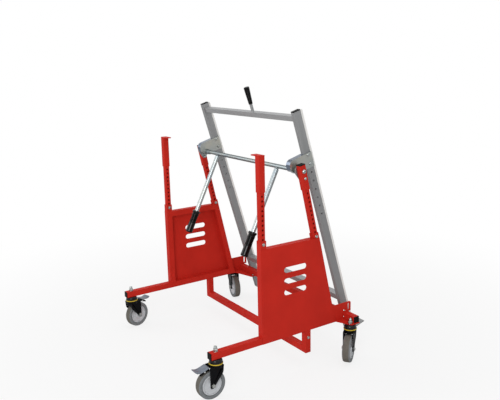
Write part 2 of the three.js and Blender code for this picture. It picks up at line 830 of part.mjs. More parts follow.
// Threaded stem with its nut, from inside the fork up through the plate or rail that it clamps
function casterStem(clamped) {
  const nutBottom = deck + clamped + seat;
  const nutTop = nutBottom + stemNutHeight;
  const stem = rodZ(stemDiameter, 0, 0, [deck - stemInFork, nutTop + stemTip]);
  return join(stem, rodZ(hexagon(stemNut), 0, 0, [nutBottom, nutTop], 6));
}

function wheelHub() {
  const boreRadius = axleDiameter / 2 + seat;
  const boss = hubBoss / 2;
  const rim = hubDiameter / 2;
  const rimHalf = tyreWidth / 2 - 2;
  const profile = [
    [boreRadius, hubWidth / 2],
    [boss, hubWidth / 2],
    [boss, rimHalf - 4],
    [rim - 6, rimHalf - 4],
    [rim, rimHalf],
  ];
  const lower = profile.map(([radius, height]) => [radius, -height]);
  return turnX(turned(closed([...lower, ...profile.reverse()]), wheelSides));
}

function wheelTyre() {
  const inner = hubDiameter / 2 + seat;
  const outer = wheelDiameter / 2;
  const wide = tyreWidth / 2;
  const profile = [
    [inner, wide - 1],
    [outer - 6, wide],
    [outer, wide - 8],
  ];
  const lower = profile.map(([radius, height]) => [radius, -height]);
  return turnX(turned(closed([...lower, ...profile.reverse()]), wheelSides));
}

function group(parent, position = [0, 0, 0], rotation = [0, 0, 0]) {
  const holder = new THREE.Group();
  holder.position.set(...position);
  holder.rotation.set(...rotation);
  parent.add(holder);
  return holder;
}

const cart = new THREE.Group();
const frame = group(cart);

// Fixed frame
frame.add(meshOf("rear_crossbeam", crossbeam(), redPaint));
frame.add(meshOf("lower_u_frame", yoke(), redPaint));
for (const [side, hand] of Object.entries(hands)) {
  frame.add(meshOf(`side_frame_${side}`, sideFrame(hand), redPaint));
  frame.add(meshOf(`side_panel_${side}`, sidePanel(hand), redPaint));
  frame.add(meshOf(`corner_bracket_${side}`, cornerBracket(hand), redPaint));
  frame.add(meshOf(`front_lock_bolt_${side}`, lockBolt(hand, frontLock()), zinc));
  frame.add(meshOf(`rear_lock_bolt_${side}`, lockBolt(hand, rearLock()), zinc));
  const squareCap = endCap(tube, tube, capPlug, capPlug);
  const railEnd = group(frame, [hand * frameX, 0, deck + half], [Math.PI / 2, 0, 0]);
  railEnd.add(meshOf(`front_rail_cap_${side}`, squareCap, blackPlastic));
  const beamEnd = group(frame, [hand * beamHalf, beamY, beamBottom + half], [0, (hand * Math.PI) / 2, 0]);
  beamEnd.add(meshOf(`crossbeam_cap_${side}`, squareCap, blackPlastic));
}

// Posts
const frontPosts = group(frame, [0, frontPostY, deck]);
const rearPosts = group(frame, [0, rearPostFootY, deck], [rearPostLean, 0, 0]);
for (const [side, hand] of Object.entries(hands)) {
  frontPosts.add(meshOf(`front_post_${side}`, frontPost(hand), redPaint));
  rearPosts.add(meshOf(`rear_post_${side}`, rearPost(hand), redPaint));
  const postEnd = group(rearPosts, [hand * frameX, 0, rearPostLength]);
  const postPlug = innerBore - 2 * seat;
  postEnd.add(meshOf(`rear_post_cap_${side}`, endCap(tube, tube, postPlug, postPlug), blackPlastic));
}

// Pivot bar and push handles, carried by the rear posts
const pivot = group(frame, [0, pivotY, pivotZ]);
pivot.add(meshOf("pivot_bar", pivotBar(), zinc));
for (const [side, hand] of Object.entries(hands)) {
  pivot.add(meshOf(`pivot_bolt_${side}`, pivotBolt(hand), zinc));
  const arm = group(pivot, [(hand * armSpread) / 2, 0, 0], [-armSwing, 0, 0]);
  arm.add(meshOf(`push_handle_${side}`, pushHandle(), zinc));
  arm.add(meshOf(`push_grip_${side}`, pushGrip(), blackRubber));
}

// Tilting frame
const tilt = group(frame, [0, pivotY, pivotZ], [tiltLean, 0, 0]);
tilt.add(meshOf("upper_cross_tube", upperCrossTube(), greyPaint));
tilt.add(meshOf("tilt_handle_grip", handleGrip(), blackRubber));
tilt.add(meshOf("lower_cross_tube", crossTube(lowerTube, railBottom + lowerTubeHeight), greyPaint));
for (const [side, hand] of Object.entries(hands)) {
  tilt.add(meshOf(`tilt_rail_${side}`, tiltRail(hand), greyPaint));
  tilt.add(meshOf(`wear_strip_${side}`, wearStrip(hand), whitePlastic));
  tilt.add(meshOf(`sheet_rest_${side}`, sheetRest(hand), greyPaint));
  tilt.add(meshOf(`pivot_bracket_${side}`, pivotBracket(hand), zinc));
  const railEnd = group(tilt, [hand * railX, railMiddle, railAbove]);
  const railCap = endCap(railWidth, railDepth, railPlugWidth, railPlugDepth);
  railEnd.add(meshOf(`rail_cap_${side}`, railCap, blackPlastic));
}

// Casters
for (const [side, hand] of Object.entries(hands)) {
  for (const end of ["front", "rear"]) {
    const name = `${end}_${side}`;
    const front = end === "front";
    const x = front ? frameX : frameOuter + rearCasterOut;
    const y = front ? frontCasterY : rearCasterY;
    const caster = group(frame, [hand * x, y, 0], [0, 0, casterTurns[name]]);
    caster.add(meshOf(`${name}_caster_stem`, casterStem(front ? tube : bracketPlate), zinc));
    caster.add(meshOf(`${name}_caster_fork`, casterFork(front), blackPlastic));
    const wheel = group(caster, [0, -trail, wheelDiameter / 2]);
    wheel.add(meshOf(`${name}_wheel_hub`, wheelHub(), hubGrey));
    wheel.add(meshOf(`${name}_tyre`, wheelTyre(), tyreGrey));
    if (front) {
      caster.add(meshOf(`${name}_brake_pedal`, brakePedal(), pedalGrey));
    }
  }
}

// The origin is on the floor, under the middle of the whole cart
const bounds = new THREE.Box3().setFromObject(cart, true);
const middle = bounds.getCenter(new THREE.Vector3());
frame.position.set(-middle.x, -middle.y, -bounds.min.z);

export default cart;
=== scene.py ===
import json
import math

import bpy
from bpy.props import FloatProperty, FloatVectorProperty, IntProperty, PointerProperty
from mathutils import Matrix, Vector


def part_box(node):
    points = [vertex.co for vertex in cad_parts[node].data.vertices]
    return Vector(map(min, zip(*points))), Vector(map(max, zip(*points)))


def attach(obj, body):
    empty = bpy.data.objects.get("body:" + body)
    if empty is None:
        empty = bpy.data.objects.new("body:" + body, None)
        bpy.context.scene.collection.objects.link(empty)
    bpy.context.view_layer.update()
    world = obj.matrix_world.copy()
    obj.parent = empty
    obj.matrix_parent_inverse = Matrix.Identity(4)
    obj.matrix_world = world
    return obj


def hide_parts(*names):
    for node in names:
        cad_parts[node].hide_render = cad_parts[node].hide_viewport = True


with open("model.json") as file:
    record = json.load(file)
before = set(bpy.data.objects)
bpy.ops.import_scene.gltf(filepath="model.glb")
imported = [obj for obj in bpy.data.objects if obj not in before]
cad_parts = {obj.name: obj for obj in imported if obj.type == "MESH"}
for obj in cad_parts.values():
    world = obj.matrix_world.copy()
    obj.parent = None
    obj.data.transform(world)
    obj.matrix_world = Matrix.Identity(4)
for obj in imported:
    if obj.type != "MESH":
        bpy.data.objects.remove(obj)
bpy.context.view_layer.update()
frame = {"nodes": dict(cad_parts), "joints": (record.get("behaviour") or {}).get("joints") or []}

bl_info = {
    "name": "Sheet goods cart",
    "version": (1, 0, 0),
    "blender": (4, 5, 0),
    "location": "View3D > Sidebar > Cart",
    "description": "Dresses the packed sheet goods cart and sets its stage",
    "category": "Object",
}

MM = 0.001
SIDES = ("left", "right")
CORNERS = ("front_left", "front_right", "rear_left", "rear_right")
JOINTS = {joint["name"]: joint for joint in frame["joints"]}
FINISHES = {}
PIVOT = Vector(JOINTS["tilt"]["pos_m"])

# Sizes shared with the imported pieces, in millimetres and radians
TRACK, DECK, TUBE = 895.0, 175.0, 30.0
POST_LEAN, TILT_LEAN, ARM_SWING = math.radians(12.85), math.radians(16.5), math.radians(26.4)
PANEL_SLOT_Y, PANEL_SLOT_RISE = 184.4, 267.0
FRONT_SLEEVE, REAR_SLEEVE, POST_INSERT, REST_PLATE, PIVOT_DROP = 160.0, 116.0, 400.0, 5.0, 28.0
HOLE, HOLE_INSET, HOLE_PITCH, HOLE_COUNT = 10.0, 15.0, 21.0, 14
RAIL_X, RAIL_WIDTH, RAIL_TOE = 402.0, 20.0, 14.0
RAIL_FRONT, RAIL_REAR, RAIL_TOP, RAIL_BOTTOM = 55.5, 95.5, 247.0, -914.0
RAIL_HOLE, RAIL_HOLE_TOP, RAIL_HOLE_PITCH, RAIL_HOLE_COUNT = 9.0, 43.0, 42.0, 8
BAR, BAR_END, COLLAR, COLLAR_FACE, COLLAR_WIDTH = 20.0, 432.2, 27.0, 387.4, 32.0
FLANGE, FLANGE_EYE, FLANGE_TIP, FLANGE_DROP, FLANGE_BOLT = 4.0, 26.0, 14.0, 28.0, 33.0
CHEEK, CHEEK_IN, CHEEK_OUT = 4.0, 10.3, 14.3
BRACKET_TOP, BRACKET_FRONT, BRACKET_BROW, BRACKET_CHIN, BRACKET_EYE = 53.0, -35.0, 27.0, 12.0, 17.0
ARM, ARM_X, ARM_START, ARM_PIN, STUB, STUB_LENGTH = 22.0, 267.0, 14.0, 48.0, 15.0, 75.0
ARM_GRIP, ARM_COLLAR, ARM_GRIP_START, ARM_GRIP_END = 37.0, 41.0, 324.0, 444.0
GRIP_SMOOTH, WELD_DROP = 54.0, 1.6
TILT_GRIP_X, TILT_GRIP_FOOT, TILT_GRIP_TOP, TILT_GRIP_HEAD = 59.0, 265.5, 349.5, 27.0
WHEEL, TRAIL, FORK_FACE = 130.0, 30.0, 25.5
PEDAL_BACK, PEDAL_Z, PEDAL_HALF, PEDAL_THICK = 62.0, 134.0, 23.0, 3.0
WEB_BOLT_Y, YOKE_Y = 737.0 - 409.2, 517.0 - 409.2


# ---------------------------------------------------------------- settings


def colour_setting(name, description, default):
    """A colour that the user may change."""
    return FloatVectorProperty(
        name=name, description=description, subtype="COLOR", size=4,
        min=0.0, max=1.0, default=(*default, 1.0),
    )


def length_setting(name, description, millimetres):
    """A length that the user may change, given in millimetres."""
    return FloatProperty(name=name, description=description, unit="LENGTH", default=millimetres * MM)


class CartFinish(bpy.types.PropertyGroup):
    """Colours of the cart's finishes, in linear light."""

    red: colour_setting("Red coat", "Powder coat of the frame", (0.520, 0.0235, 0.0145))
    grey: colour_setting("Grey coat", "Coat of the tilt rails", (0.272, 0.276, 0.280))
    zinc: colour_setting("Zinc plate", "Plating of bar and handles", (0.410, 0.438, 0.445))
    bolt: colour_setting("Zinc bolts", "Plating of the fasteners", (0.450, 0.455, 0.440))
    # The bent band's darker bluish zinc is a painted reflection of dark surroundings
    bend: colour_setting("Zinc bend", "Rolled edge of the pivot brackets", (0.165, 0.190, 0.240))
    sheet: colour_setting("Zinc sheet", "Plating of the pivot brackets", (0.445, 0.442, 0.412))
    plastic: colour_setting("Black plastic", "Moulded end caps", (0.004, 0.004, 0.004))
    rubber: colour_setting("Black rubber", "Grips of the handles", (0.003, 0.003, 0.003))
    strip: colour_setting("White strip", "Sliding strip behind the rails", (0.790, 0.785, 0.760))
    fork: colour_setting("Fork coat", "Coat of the caster forks", (0.004, 0.004, 0.005))
    tyre: colour_setting("Tyre", "Tread of the wheels", (0.132, 0.123, 0.106))
    tyre_side: colour_setting("Tyre side", "Side walls of the tyres", (0.184, 0.195, 0.203))
    hub: colour_setting("Hub", "Moulded wheel hubs", (0.530, 0.548, 0.570))
    pedal: colour_setting("Pedal", "Plated brake pedals", (0.172, 0.196, 0.236))
    seal: colour_setting("Swivel seal", "Ring between fork and swivel", (0.560, 0.400, 0.030))


class CartDetail(bpy.types.PropertyGroup):
    """Sizes of the small pieces."""

    tube_edge: length_setting("Tube edge", "Rounding of the square tubes' edges", 2.2)
    plate_edge: length_setting("Plate edge", "Rounding of thin plates' edges", 0.5)
    cap_edge: length_setting("Cap edge", "Rounding of the plastic caps' edges", 1.4)
    slot_length: length_setting("Slot length", "Length of a slot in the side panels", 124.0)
    slot_height: length_setting("Slot height", "Height of a slot in the side panels", 26.0)
    slot_pitch: length_setting("Slot pitch", "Distance between the slots", 52.0)
    grip_ribs: IntProperty(name="Grip ribs", description="Ribs on a push handle's grip", default=12, min=1)


class CartStage(bpy.types.PropertyGroup):
    """Camera, lamps and floor."""

    heading: FloatProperty(
        name="Heading", description="Camera heading round the cart",
        subtype="ANGLE", default=math.radians(56.666),
    )
    pitch: FloatProperty(
        name="Pitch", description="Camera pitch below the horizon",
        subtype="ANGLE", default=math.radians(12.458),
    )
    roll: FloatProperty(
        name="Roll", description="Camera roll", subtype="ANGLE", default=math.radians(-1.303),
    )
    place: FloatVectorProperty(
        name="Place", description="Camera place", subtype="TRANSLATION", unit="LENGTH",
        default=(2.5657, -1.5919, 1.3975),
    )
    lens: FloatProperty(name="Lens", description="Focal length in millimetres", default=45.06)
    key_power: FloatProperty(name="Key lamp", description="Power of the key lamp", unit="POWER", default=80.0)
    fill_power: FloatProperty(name="Fill lamp", description="Power of the fill lamp", unit="POWER", default=34.0)
    top_power: FloatProperty(name="Top lamp", description="Power of the top lamp", unit="POWER", default=42.0)
    ambient: FloatProperty(name="Ambient", description="Strength of the room's light", default=0.55)


# ---------------------------------------------------------------- finishes


def shader(name):
    """A new node material, its Principled shader and its node tree."""
    material = bpy.data.materials.new(name)
    material.use_nodes = True
    tree = material.node_tree
    return material, tree.nodes["Principled BSDF"], tree


def noise(tree, scale, detail=3.0, grain=(1.0, 1.0, 1.0), lean=0.0):
    """A noise pattern on Object coordinates, leant about X and drawn out by its grain."""
    place = tree.nodes.new("ShaderNodeTexCoord")
    mapping = tree.nodes.new("ShaderNodeMapping")
    mapping.vector_type = "TEXTURE"
    mapping.inputs["Rotation"].default_value = (lean, 0.0, 0.0)
    mapping.inputs["Scale"].default_value = grain
    texture = tree.nodes.new("ShaderNodeTexNoise")
    texture.inputs["Scale"].default_value = scale
    texture.inputs["Detail"].default_value = detail
    tree.links.new(place.outputs["Object"], mapping.inputs["Vector"])
    tree.links.new(mapping.outputs["Vector"], texture.inputs["Vector"])
    return texture.outputs["Fac"]


def tones(tree, pattern, low, high, start=0.35, end=0.65):
    """Two tones mixed by a pattern."""
    ramp = tree.nodes.new("ShaderNodeValToRGB")
    ramp.color_ramp.elements[0].position = start
    ramp.color_ramp.elements[1].position = end
    ramp.color_ramp.elements[0].color = low
    ramp.color_ramp.elements[1].color = high
    tree.links.new(pattern, ramp.inputs["Fac"])
    return ramp.outputs["Color"]


def span(tree, pattern, low, high):
    """A pattern mapped to a range of numbers."""
    ranged = tree.nodes.new("ShaderNodeMapRange")
    ranged.inputs["From Min"].default_value = 0.3
    ranged.inputs["From Max"].default_value = 0.7
    ranged.inputs["To Min"].default_value = low
    ranged.inputs["To Max"].default_value = high
    tree.links.new(pattern, ranged.inputs["Value"])
    return ranged.outputs["Result"]


def relief(tree, pattern, strength, depth):
    """A bump from a pattern."""
    bump = tree.nodes.new("ShaderNodeBump")
    bump.inputs["Strength"].default_value = strength
    bump.inputs["Distance"].default_value = depth
    tree.links.new(pattern, bump.inputs["Height"])
    return bump.outputs["Normal"]


def shade(colour, factor):
    """A lighter or darker tone of a colour."""
    return (*(min(1.0, channel * factor) for channel in colour[:3]), 1.0)


def finish_material(name, colour, spread, rough, grain, depth, gloss=0.5, metallic=0.0, patch=9.0):
    """A finish with patches of tone, uneven gloss and a fine surface grain."""
    material, principled, tree = shader("cart_" + name)
    principled.inputs["Metallic"].default_value = metallic
    principled.inputs["Specular IOR Level"].default_value = gloss
    base = tones(tree, noise(tree, patch, 6.0), shade(colour, 1.0 - spread), shade(colour, 1.0 + spread))
    tree.links.new(base, principled.inputs["Base Color"])
    tree.links.new(span(tree, noise(tree, patch * 4.0, 5.0), *rough), principled.inputs["Roughness"])
    tree.links.new(relief(tree, noise(tree, grain, 2.0), 0.35, depth), principled.inputs["Normal"])
    FINISHES[name] = material


def plated_material(name, colour, rough, rim):
    """Zinc plate: cool and warm patches with an uneven gloss, and a rim that shades its edges."""
    material, principled, tree = shader("cart_" + name)
    principled.inputs["Metallic"].default_value = 1.0
    principled.inputs["Specular Tint"].default_value = (rim, rim, rim, 1.0)
    cool = (colour[0] * 0.90, colour[1] * 0.97, colour[2] * 1.02, 1.0)
    warm = (colour[0] * 1.06, colour[1] * 1.05, colour[2] * 1.00, 1.0)
    tree.links.new(tones(tree, noise(tree, 14.0, 6.0), cool, warm), principled.inputs["Base Color"])
    tree.links.new(span(tree, noise(tree, 24.0, 4.0), *rough), principled.inputs["Roughness"])
    tree.links.new(relief(tree, noise(tree, 900.0, 2.0), 0.05, 0.00001), principled.inputs["Normal"])
    FINISHES[name] = material


def drawn_material(name, colour, grain, lean):
    """A coated profile with faint lines along its length."""
    material, principled, tree = shader("cart_" + name)
    principled.inputs["Metallic"].default_value = 0.45
    principled.inputs["Specular IOR Level"].default_value = 0.25
    lines = noise(tree, 1.0, 4.0, grain, lean)
    tree.links.new(tones(tree, lines, shade(colour, 0.92), shade(colour, 1.08)), principled.inputs["Base Color"])
    tree.links.new(span(tree, noise(tree, 36.0, 5.0), 0.34, 0.46), principled.inputs["Roughness"])
    tree.links.new(relief(tree, lines, 0.15, 0.00004), principled.inputs["Normal"])
    FINISHES[name] = material


def make_materials(finish):
    """All finishes of the cart, most of them by the record's slot names."""
    finish_material("red_paint", finish.red, 0.05, (0.40, 0.50), 650.0, 0.00012, gloss=0.04)
    drawn_material("grey_paint", finish.grey, (0.0012, 0.0012, 0.16), TILT_LEAN)
    # The cross tube's grey coat, lightened 1.2 times as painted light, with its grain along X
    drawn_material("grey_tube_painted_light", shade(finish.grey, 1.2), (0.16, 0.0012, 0.0012), TILT_LEAN)
    plated_material("zinc", finish.zinc, (0.34, 0.40), 0.25)
    # The bar's zinc darkened to 0.8 as painted shade for its darker reflections
    plated_material("zinc_bar", shade(finish.zinc, 0.8), (0.32, 0.38), 0.25)
    plated_material("zinc_bolt", finish.bolt, (0.20, 0.30), 0.4)
    # Painted reflection: the brackets' bent band in darker bluish zinc
    plated_material("zinc_band_painted_reflection", finish.bend, (0.18, 0.26), 1.0)
    plated_material("zinc_sheet", finish.sheet, (0.38, 0.50), 0.9)
    finish_material("black_plastic", finish.plastic, 0.20, (0.38, 0.52), 1600.0, 0.00012, gloss=0.07)
    finish_material("black_rubber", finish.rubber, 0.20, (0.18, 0.28), 1300.0, 0.00010, gloss=0.12)
    finish_material("black_gloss", finish.rubber, 0.20, (0.06, 0.12), 900.0, 0.00002, gloss=0.24)
    finish_material("white_plastic", finish.strip, 0.03, (0.36, 0.46), 800.0, 0.0001, gloss=0.3)
    finish_material("black_fork", finish.fork, 0.20, (0.28, 0.40), 900.0, 0.0001, gloss=0.06)
    finish_material("swivel_black", finish.fork, 0.20, (0.12, 0.20), 900.0, 0.00004, gloss=0.25)
    finish_material("tyre_grey", finish.tyre, 0.10, (0.62, 0.78), 900.0, 0.00025, gloss=0.2, patch=40.0)
    finish_material("tyre_side", finish.tyre_side, 0.08, (0.60, 0.75), 900.0, 0.0002, gloss=0.2, patch=40.0)
    finish_material("hub_grey", finish.hub, 0.04, (0.38, 0.50), 1200.0, 0.0001, gloss=0.25, patch=30.0)
    finish_material("pedal_grey", finish.pedal, 0.10, (0.32, 0.48), 900.0, 0.0001, gloss=0.4, metallic=0.35, patch=60.0)
    finish_material("seal_yellow", finish.seal, 0.08, (0.40, 0.52), 1200.0, 0.0001, gloss=0.2, patch=40.0)


# ---------------------------------------------------------------- modelling tools


def settle():
    """Object mode with nothing selected."""
    if bpy.context.mode != "OBJECT":
        bpy.ops.object.mode_set(mode="OBJECT")
    bpy.ops.object.select_all(action="DESELECT")


def choose(piece):
    """Makes a piece the only selected one."""
    settle()
    piece.select_set(True)
    bpy.context.view_layer.objects.active = piece


def apply_modifier(piece, kind, **settings):
    """Adds a modifier with its settings and applies it."""
    choose(piece)
    modifier = piece.modifiers.new(kind.lower(), kind)
    for name, value in settings.items():
        setattr(modifier, name, value)
    bpy.ops.object.modifier_apply(modifier=modifier.name)


def round_edges(piece, width, segments=2, angle=35.0):
    """Rounds the sharp edges of a piece and smooths its curved faces."""
    apply_modifier(
        piece, "BEVEL", width=width, segments=segments, limit_method="ANGLE", angle_limit=math.radians(angle),
    )
    smooth(piece)


def smooth(piece, angle=35.0):
    """Smooth shading between faces that meet at a shallow angle."""
    choose(piece)
    bpy.ops.object.shade_smooth_by_angle(angle=math.radians(angle))


def pick_faces(piece, wanted):
    """Edit mode with only the wanted faces selected."""
    choose(piece)
    bpy.ops.object.mode_set(mode="EDIT")
    bpy.ops.mesh.select_mode(type="FACE")
    bpy.ops.mesh.select_all(action="DESELECT")
    bpy.ops.object.mode_set(mode="OBJECT")
    for face in piece.data.polygons:
        face.select = wanted(face)
    bpy.ops.object.mode_set(mode="EDIT")


def pick_edges(piece, wanted):
    """Edit mode with only the wanted edges selected, by the places of their ends."""
    choose(piece)
    bpy.ops.object.mode_set(mode="EDIT")
    bpy.ops.mesh.select_mode(type="EDGE")
    bpy.ops.mesh.select_all(action="DESELECT")
    bpy.ops.object.mode_set(mode="OBJECT")
    places = [vertex.co for vertex in piece.data.vertices]
    for edge in piece.data.edges:
        edge.select = wanted(*(places[i] for i in edge.vertices))
    bpy.ops.object.mode_set(mode="EDIT")


def trace(name, points):
    """Edit mode on a new chain of edges, drawn out from one vertex."""
    settle()
    bpy.ops.mesh.primitive_plane_add(size=MM, location=(0.0, 0.0, 0.0))
    piece = bpy.context.object
    piece.name = name
    bpy.ops.object.mode_set(mode="EDIT")
    bpy.ops.mesh.select_mode(type="VERT")
    bpy.ops.mesh.select_all(action="SELECT")
    bpy.ops.mesh.merge(type="CENTER")
    bpy.ops.transform.translate(value=points[0])
    for before, after in zip(points, points[1:]):
        step = Vector(after) - Vector(before)
        bpy.ops.mesh.extrude_vertices_move(TRANSFORM_OT_translate={"value": step})
    bpy.ops.mesh.select_all(action="SELECT")
    return piece


def close_up():
    """Merges doubles, turns the faces outwards and leaves edit mode."""
    bpy.ops.mesh.select_all(action="SELECT")
    bpy.ops.mesh.remove_doubles(threshold=0.002 * MM)
    bpy.ops.mesh.normals_make_consistent(inside=False)
    bpy.ops.object.mode_set(mode="OBJECT")


def turned(name, profile, steps=48):
    """A profile of radius and height in millimetres, turned about Z."""
    piece = trace(name, [(radius * MM, 0.0, height * MM) for radius, height in profile])
    bpy.ops.mesh.spin(steps=steps, angle=2.0 * math.pi, center=(0.0, 0.0, 0.0), axis=(0.0, 0.0, 1.0))
    close_up()
    smooth(piece)
    return piece


def ring(profile):
    """A profile that closes on itself."""
    return [*profile, profile[0]]


def cut_plate(name, outline, x):
    """An outline in Y and Z, drawn out between two X positions, all in millimetres."""
    piece = trace(name, [(x[0] * MM, y * MM, z * MM) for y, z in outline])
    bpy.ops.mesh.edge_face_add()
    bpy.ops.mesh.select_all(action="SELECT")
    bpy.ops.mesh.extrude_region_move(TRANSFORM_OT_translate={"value": ((x[1] - x[0]) * MM, 0.0, 0.0)})
    close_up()
    return piece


def arc(centre, radius, start, end, steps=12):
    """Points of an arc in degrees."""
    turns = [math.radians(start + (end - start) * i / steps) for i in range(steps + 1)]
    return [(centre[0] + radius * math.cos(t), centre[1] + radius * math.sin(t)) for t in turns]


def slot_outline(centre, length, height):
    """The outline of a slot with round ends."""
    reach = (length - height) / 2
    return [
        *arc((centre[0] + reach, centre[1]), height / 2, -90, 90, 16),
        *arc((centre[0] - reach, centre[1]), height / 2, 90, 270, 16),
    ]


def box_tube(name, width, wall, z):
    """A square tube about Z with rounded edges and open ends."""
    settle()
    bpy.ops.mesh.primitive_plane_add(size=width * MM, location=(0.0, 0.0, 0.0))
    piece = bpy.context.object
    piece.name = name
    bpy.ops.object.mode_set(mode="EDIT")
    bpy.ops.mesh.select_all(action="SELECT")
    bpy.ops.transform.translate(value=(0.0, 0.0, z[0] * MM))
    bpy.ops.mesh.extrude_region_move(TRANSFORM_OT_translate={"value": (0.0, 0.0, (z[1] - z[0]) * MM)})
    close_up()
    pick_faces(piece, lambda face: abs(face.normal.z) > 0.9)
    bpy.ops.mesh.delete(type="ONLY_FACE")
    bpy.ops.mesh.select_all(action="SELECT")
    bpy.ops.object.mode_set(mode="OBJECT")
    apply_modifier(
        piece, "BEVEL", width=bpy.context.scene.cart_detail.tube_edge, segments=4,
        limit_method="ANGLE", angle_limit=math.radians(35.0),
    )
    apply_modifier(piece, "SOLIDIFY", thickness=wall * MM, offset=-1.0)
    smooth(piece)
    return piece


def joined(name, *pieces):
    """Several pieces as one mesh."""
    choose(pieces[0])
    for piece in pieces[1:]:
        piece.select_set(True)
    bpy.ops.object.join()
    pieces[0].name = name
    return pieces[0]


def drill(piece, cutter):
    """Cuts a piece with another and removes the tool."""
    apply_modifier(piece, "BOOLEAN", operation="DIFFERENCE", solver="EXACT", object=cutter)
    bpy.data.objects.remove(cutter)
    smooth(piece)


def hole_row(diameter, length, y, first, pitch, count):
    """Round tools along X, in a row down Z, in millimetres."""
    settle()
    bpy.ops.mesh.primitive_cylinder_add(
        vertices=28, radius=diameter / 2 * MM, depth=length * MM,
        location=(0.0, y * MM, first * MM), rotation=(0.0, math.pi / 2, 0.0),
    )
    tool = bpy.context.object
    bpy.ops.object.transform_apply(location=True, rotation=True, scale=True)
    apply_modifier(
        tool, "ARRAY", count=count, use_relative_offset=False, use_constant_offset=True,
        constant_offset_displace=(0.0, 0.0, -pitch * MM),
    )
    return tool


def placed(master, name, matrix):
    """A copy with its own mesh, its place in the mesh."""
    piece = master.copy()
    piece.data = master.data.copy()
    piece.name = name
    bpy.context.scene.collection.objects.link(piece)
    piece.data.transform(matrix)
    if matrix.determinant() < 0.0:
        piece.data.flip_normals()
    return piece


def dress(piece, body, finish, stands_for=()):
    """Gives a piece its finish and the body that it rides on, and hides the imported pieces it stands for."""
    names = finish if isinstance(finish, tuple) else (finish,)
    for name in names:
        piece.data.materials.append(FINISHES[name])
    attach(piece, body)
    if stands_for:
        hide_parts(*stands_for)
    return piece


def discard(*masters):
    """Removes the masters that copies were made from."""
    for master in masters:
        bpy.data.objects.remove(master)


def aimed(place, axis):
    """The matrix that stands a piece on a place with its Z along an axis."""
    return Matrix.Translation(place) @ Vector(axis).to_track_quat("Z", "Y").to_matrix().to_4x4()


def hand_of(side):
    """-1 on the left and 1 on the right."""
    return 1.0 if side == "right" else -1.0


def tilt_frame():
    """The matrix from the tilting frame's own axes to the cart."""
    return Matrix.Translation(PIVOT) @ Matrix.Rotation(TILT_LEAN, 4, "X")


def post_frame():
    """The matrix from the slanted rear posts' axes, at the pivot, to the cart."""
    return Matrix.Translation(PIVOT) @ Matrix.Rotation(POST_LEAN, 4, "X")


def arm_frame(side):
    """The matrix from a push handle's own axes to the cart."""
    out = Matrix.Translation(PIVOT + Vector((hand_of(side) * ARM_X * MM, 0.0, 0.0)))
    return out @ Matrix.Rotation(-ARM_SWING, 4, "X")


def caster_frame(corner):
    """The matrix from a caster's own axes, on the floor, to the cart."""
    swivel = JOINTS[corner + "_swivel"]["pos_m"]
    axle = JOINTS[corner + "_roll"]["axis"]
    turn = math.atan2(axle[1], axle[0])
    return Matrix.Translation((swivel[0], swivel[1], 0.0)) @ Matrix.Rotation(turn, 4, "Z")


LAY_X = Matrix.Rotation(math.pi / 2, 4, "Y")


# ---------------------------------------------------------------- fasteners


def hex_head(name, flats, height, foot=0.0):
    """A chamfered hexagon about Z, in millimetres."""
    settle()
    bpy.ops.mesh.primitive_cylinder_add(
        vertices=6, radius=flats / math.sqrt(3.0) * MM, depth=height * 0.88 * MM,
        location=(0.0, 0.0, (foot + height * 0.44) * MM),
    )
    piece = bpy.context.object
    piece.name = name
    bpy.ops.object.transform_apply(location=True, rotation=True, scale=True)
    pick_faces(piece, lambda face: face.normal.z > 0.9)
    bpy.ops.mesh.inset(thickness=flats * 0.1 * MM)
    bpy.ops.transform.translate(value=(0.0, 0.0, height * 0.12 * MM))
    bpy.ops.object.mode_set(mode="OBJECT")
    round_edges(piece, 0.3 * MM, angle=20.0)
    return piece


def hex_bolt(name, flats, height, washer=0.68):
    """A hexagon head on its washer, whose radius is given in head widths."""
    thick, rim = flats * 0.1, flats * washer
    base = turned(name + "_washer", ring([
        (flats * 0.30, 0.0), (rim - 0.3, 0.0), (rim, thick * 0.3), (rim, thick * 0.7), (rim - 0.3, thick),
        (flats * 0.30, thick),
    ]), 32)
    return joined(name, hex_head(name, flats, height, thick), base)


def lock_nut(name, flats):
    """A nut with a collar and the bolt's end."""
    thick = flats * 0.1
    body = flats * 0.5
    collar = turned(name + "_collar", [
        (flats * 0.42, thick + body - 0.5), (flats * 0.42, thick + body + 1.4), (flats * 0.37, thick + body + 2.4),
        (flats * 0.30, thick + body + 2.4), (flats * 0.29, thick + body + 3.6), (flats * 0.25, thick + body + 4.2),
        (0.0, thick + body + 4.2),
    ], 32)
    return joined(name, hex_bolt(name, flats, body), collar)


def dome_bolt(name, diameter, height):
    """A low dome head with a socket, on its washer."""
    r = diameter / 2
    return turned(name, [
        (r, 0.0), (r, 0.6), (r * 0.97, height * 0.30), (r * 0.84, height * 0.66), (r * 0.62, height * 0.9),
        (r * 0.42, height), (r * 0.36, height), (r * 0.34, height * 0.62), (0.0, height * 0.55),
    ], 40)


# ---------------------------------------------------------------- operators


class CART_OT_edges(bpy.types.Operator):
    """Rounds the edges of the welded frame, plates and caps"""

    bl_idname = "cart.edges"
    bl_label = "Rounded edges"

    def execute(self, context):
        detail = context.scene.cart_detail
        widths = {
            "side_frame": detail.tube_edge, "u_frame": detail.tube_edge, "rear_crossbeam": detail.tube_edge,
            "cross_tube": detail.tube_edge, "corner_bracket": detail.plate_edge, "sheet_rest": detail.plate_edge,
            "wear_strip": detail.cap_edge, "_cap_": detail.cap_edge,
        }
        for name, node in frame["nodes"].items():
            for part, width in widths.items():
                if part in name:
                    soften(node, width)
                    break
        return {"FINISHED"}


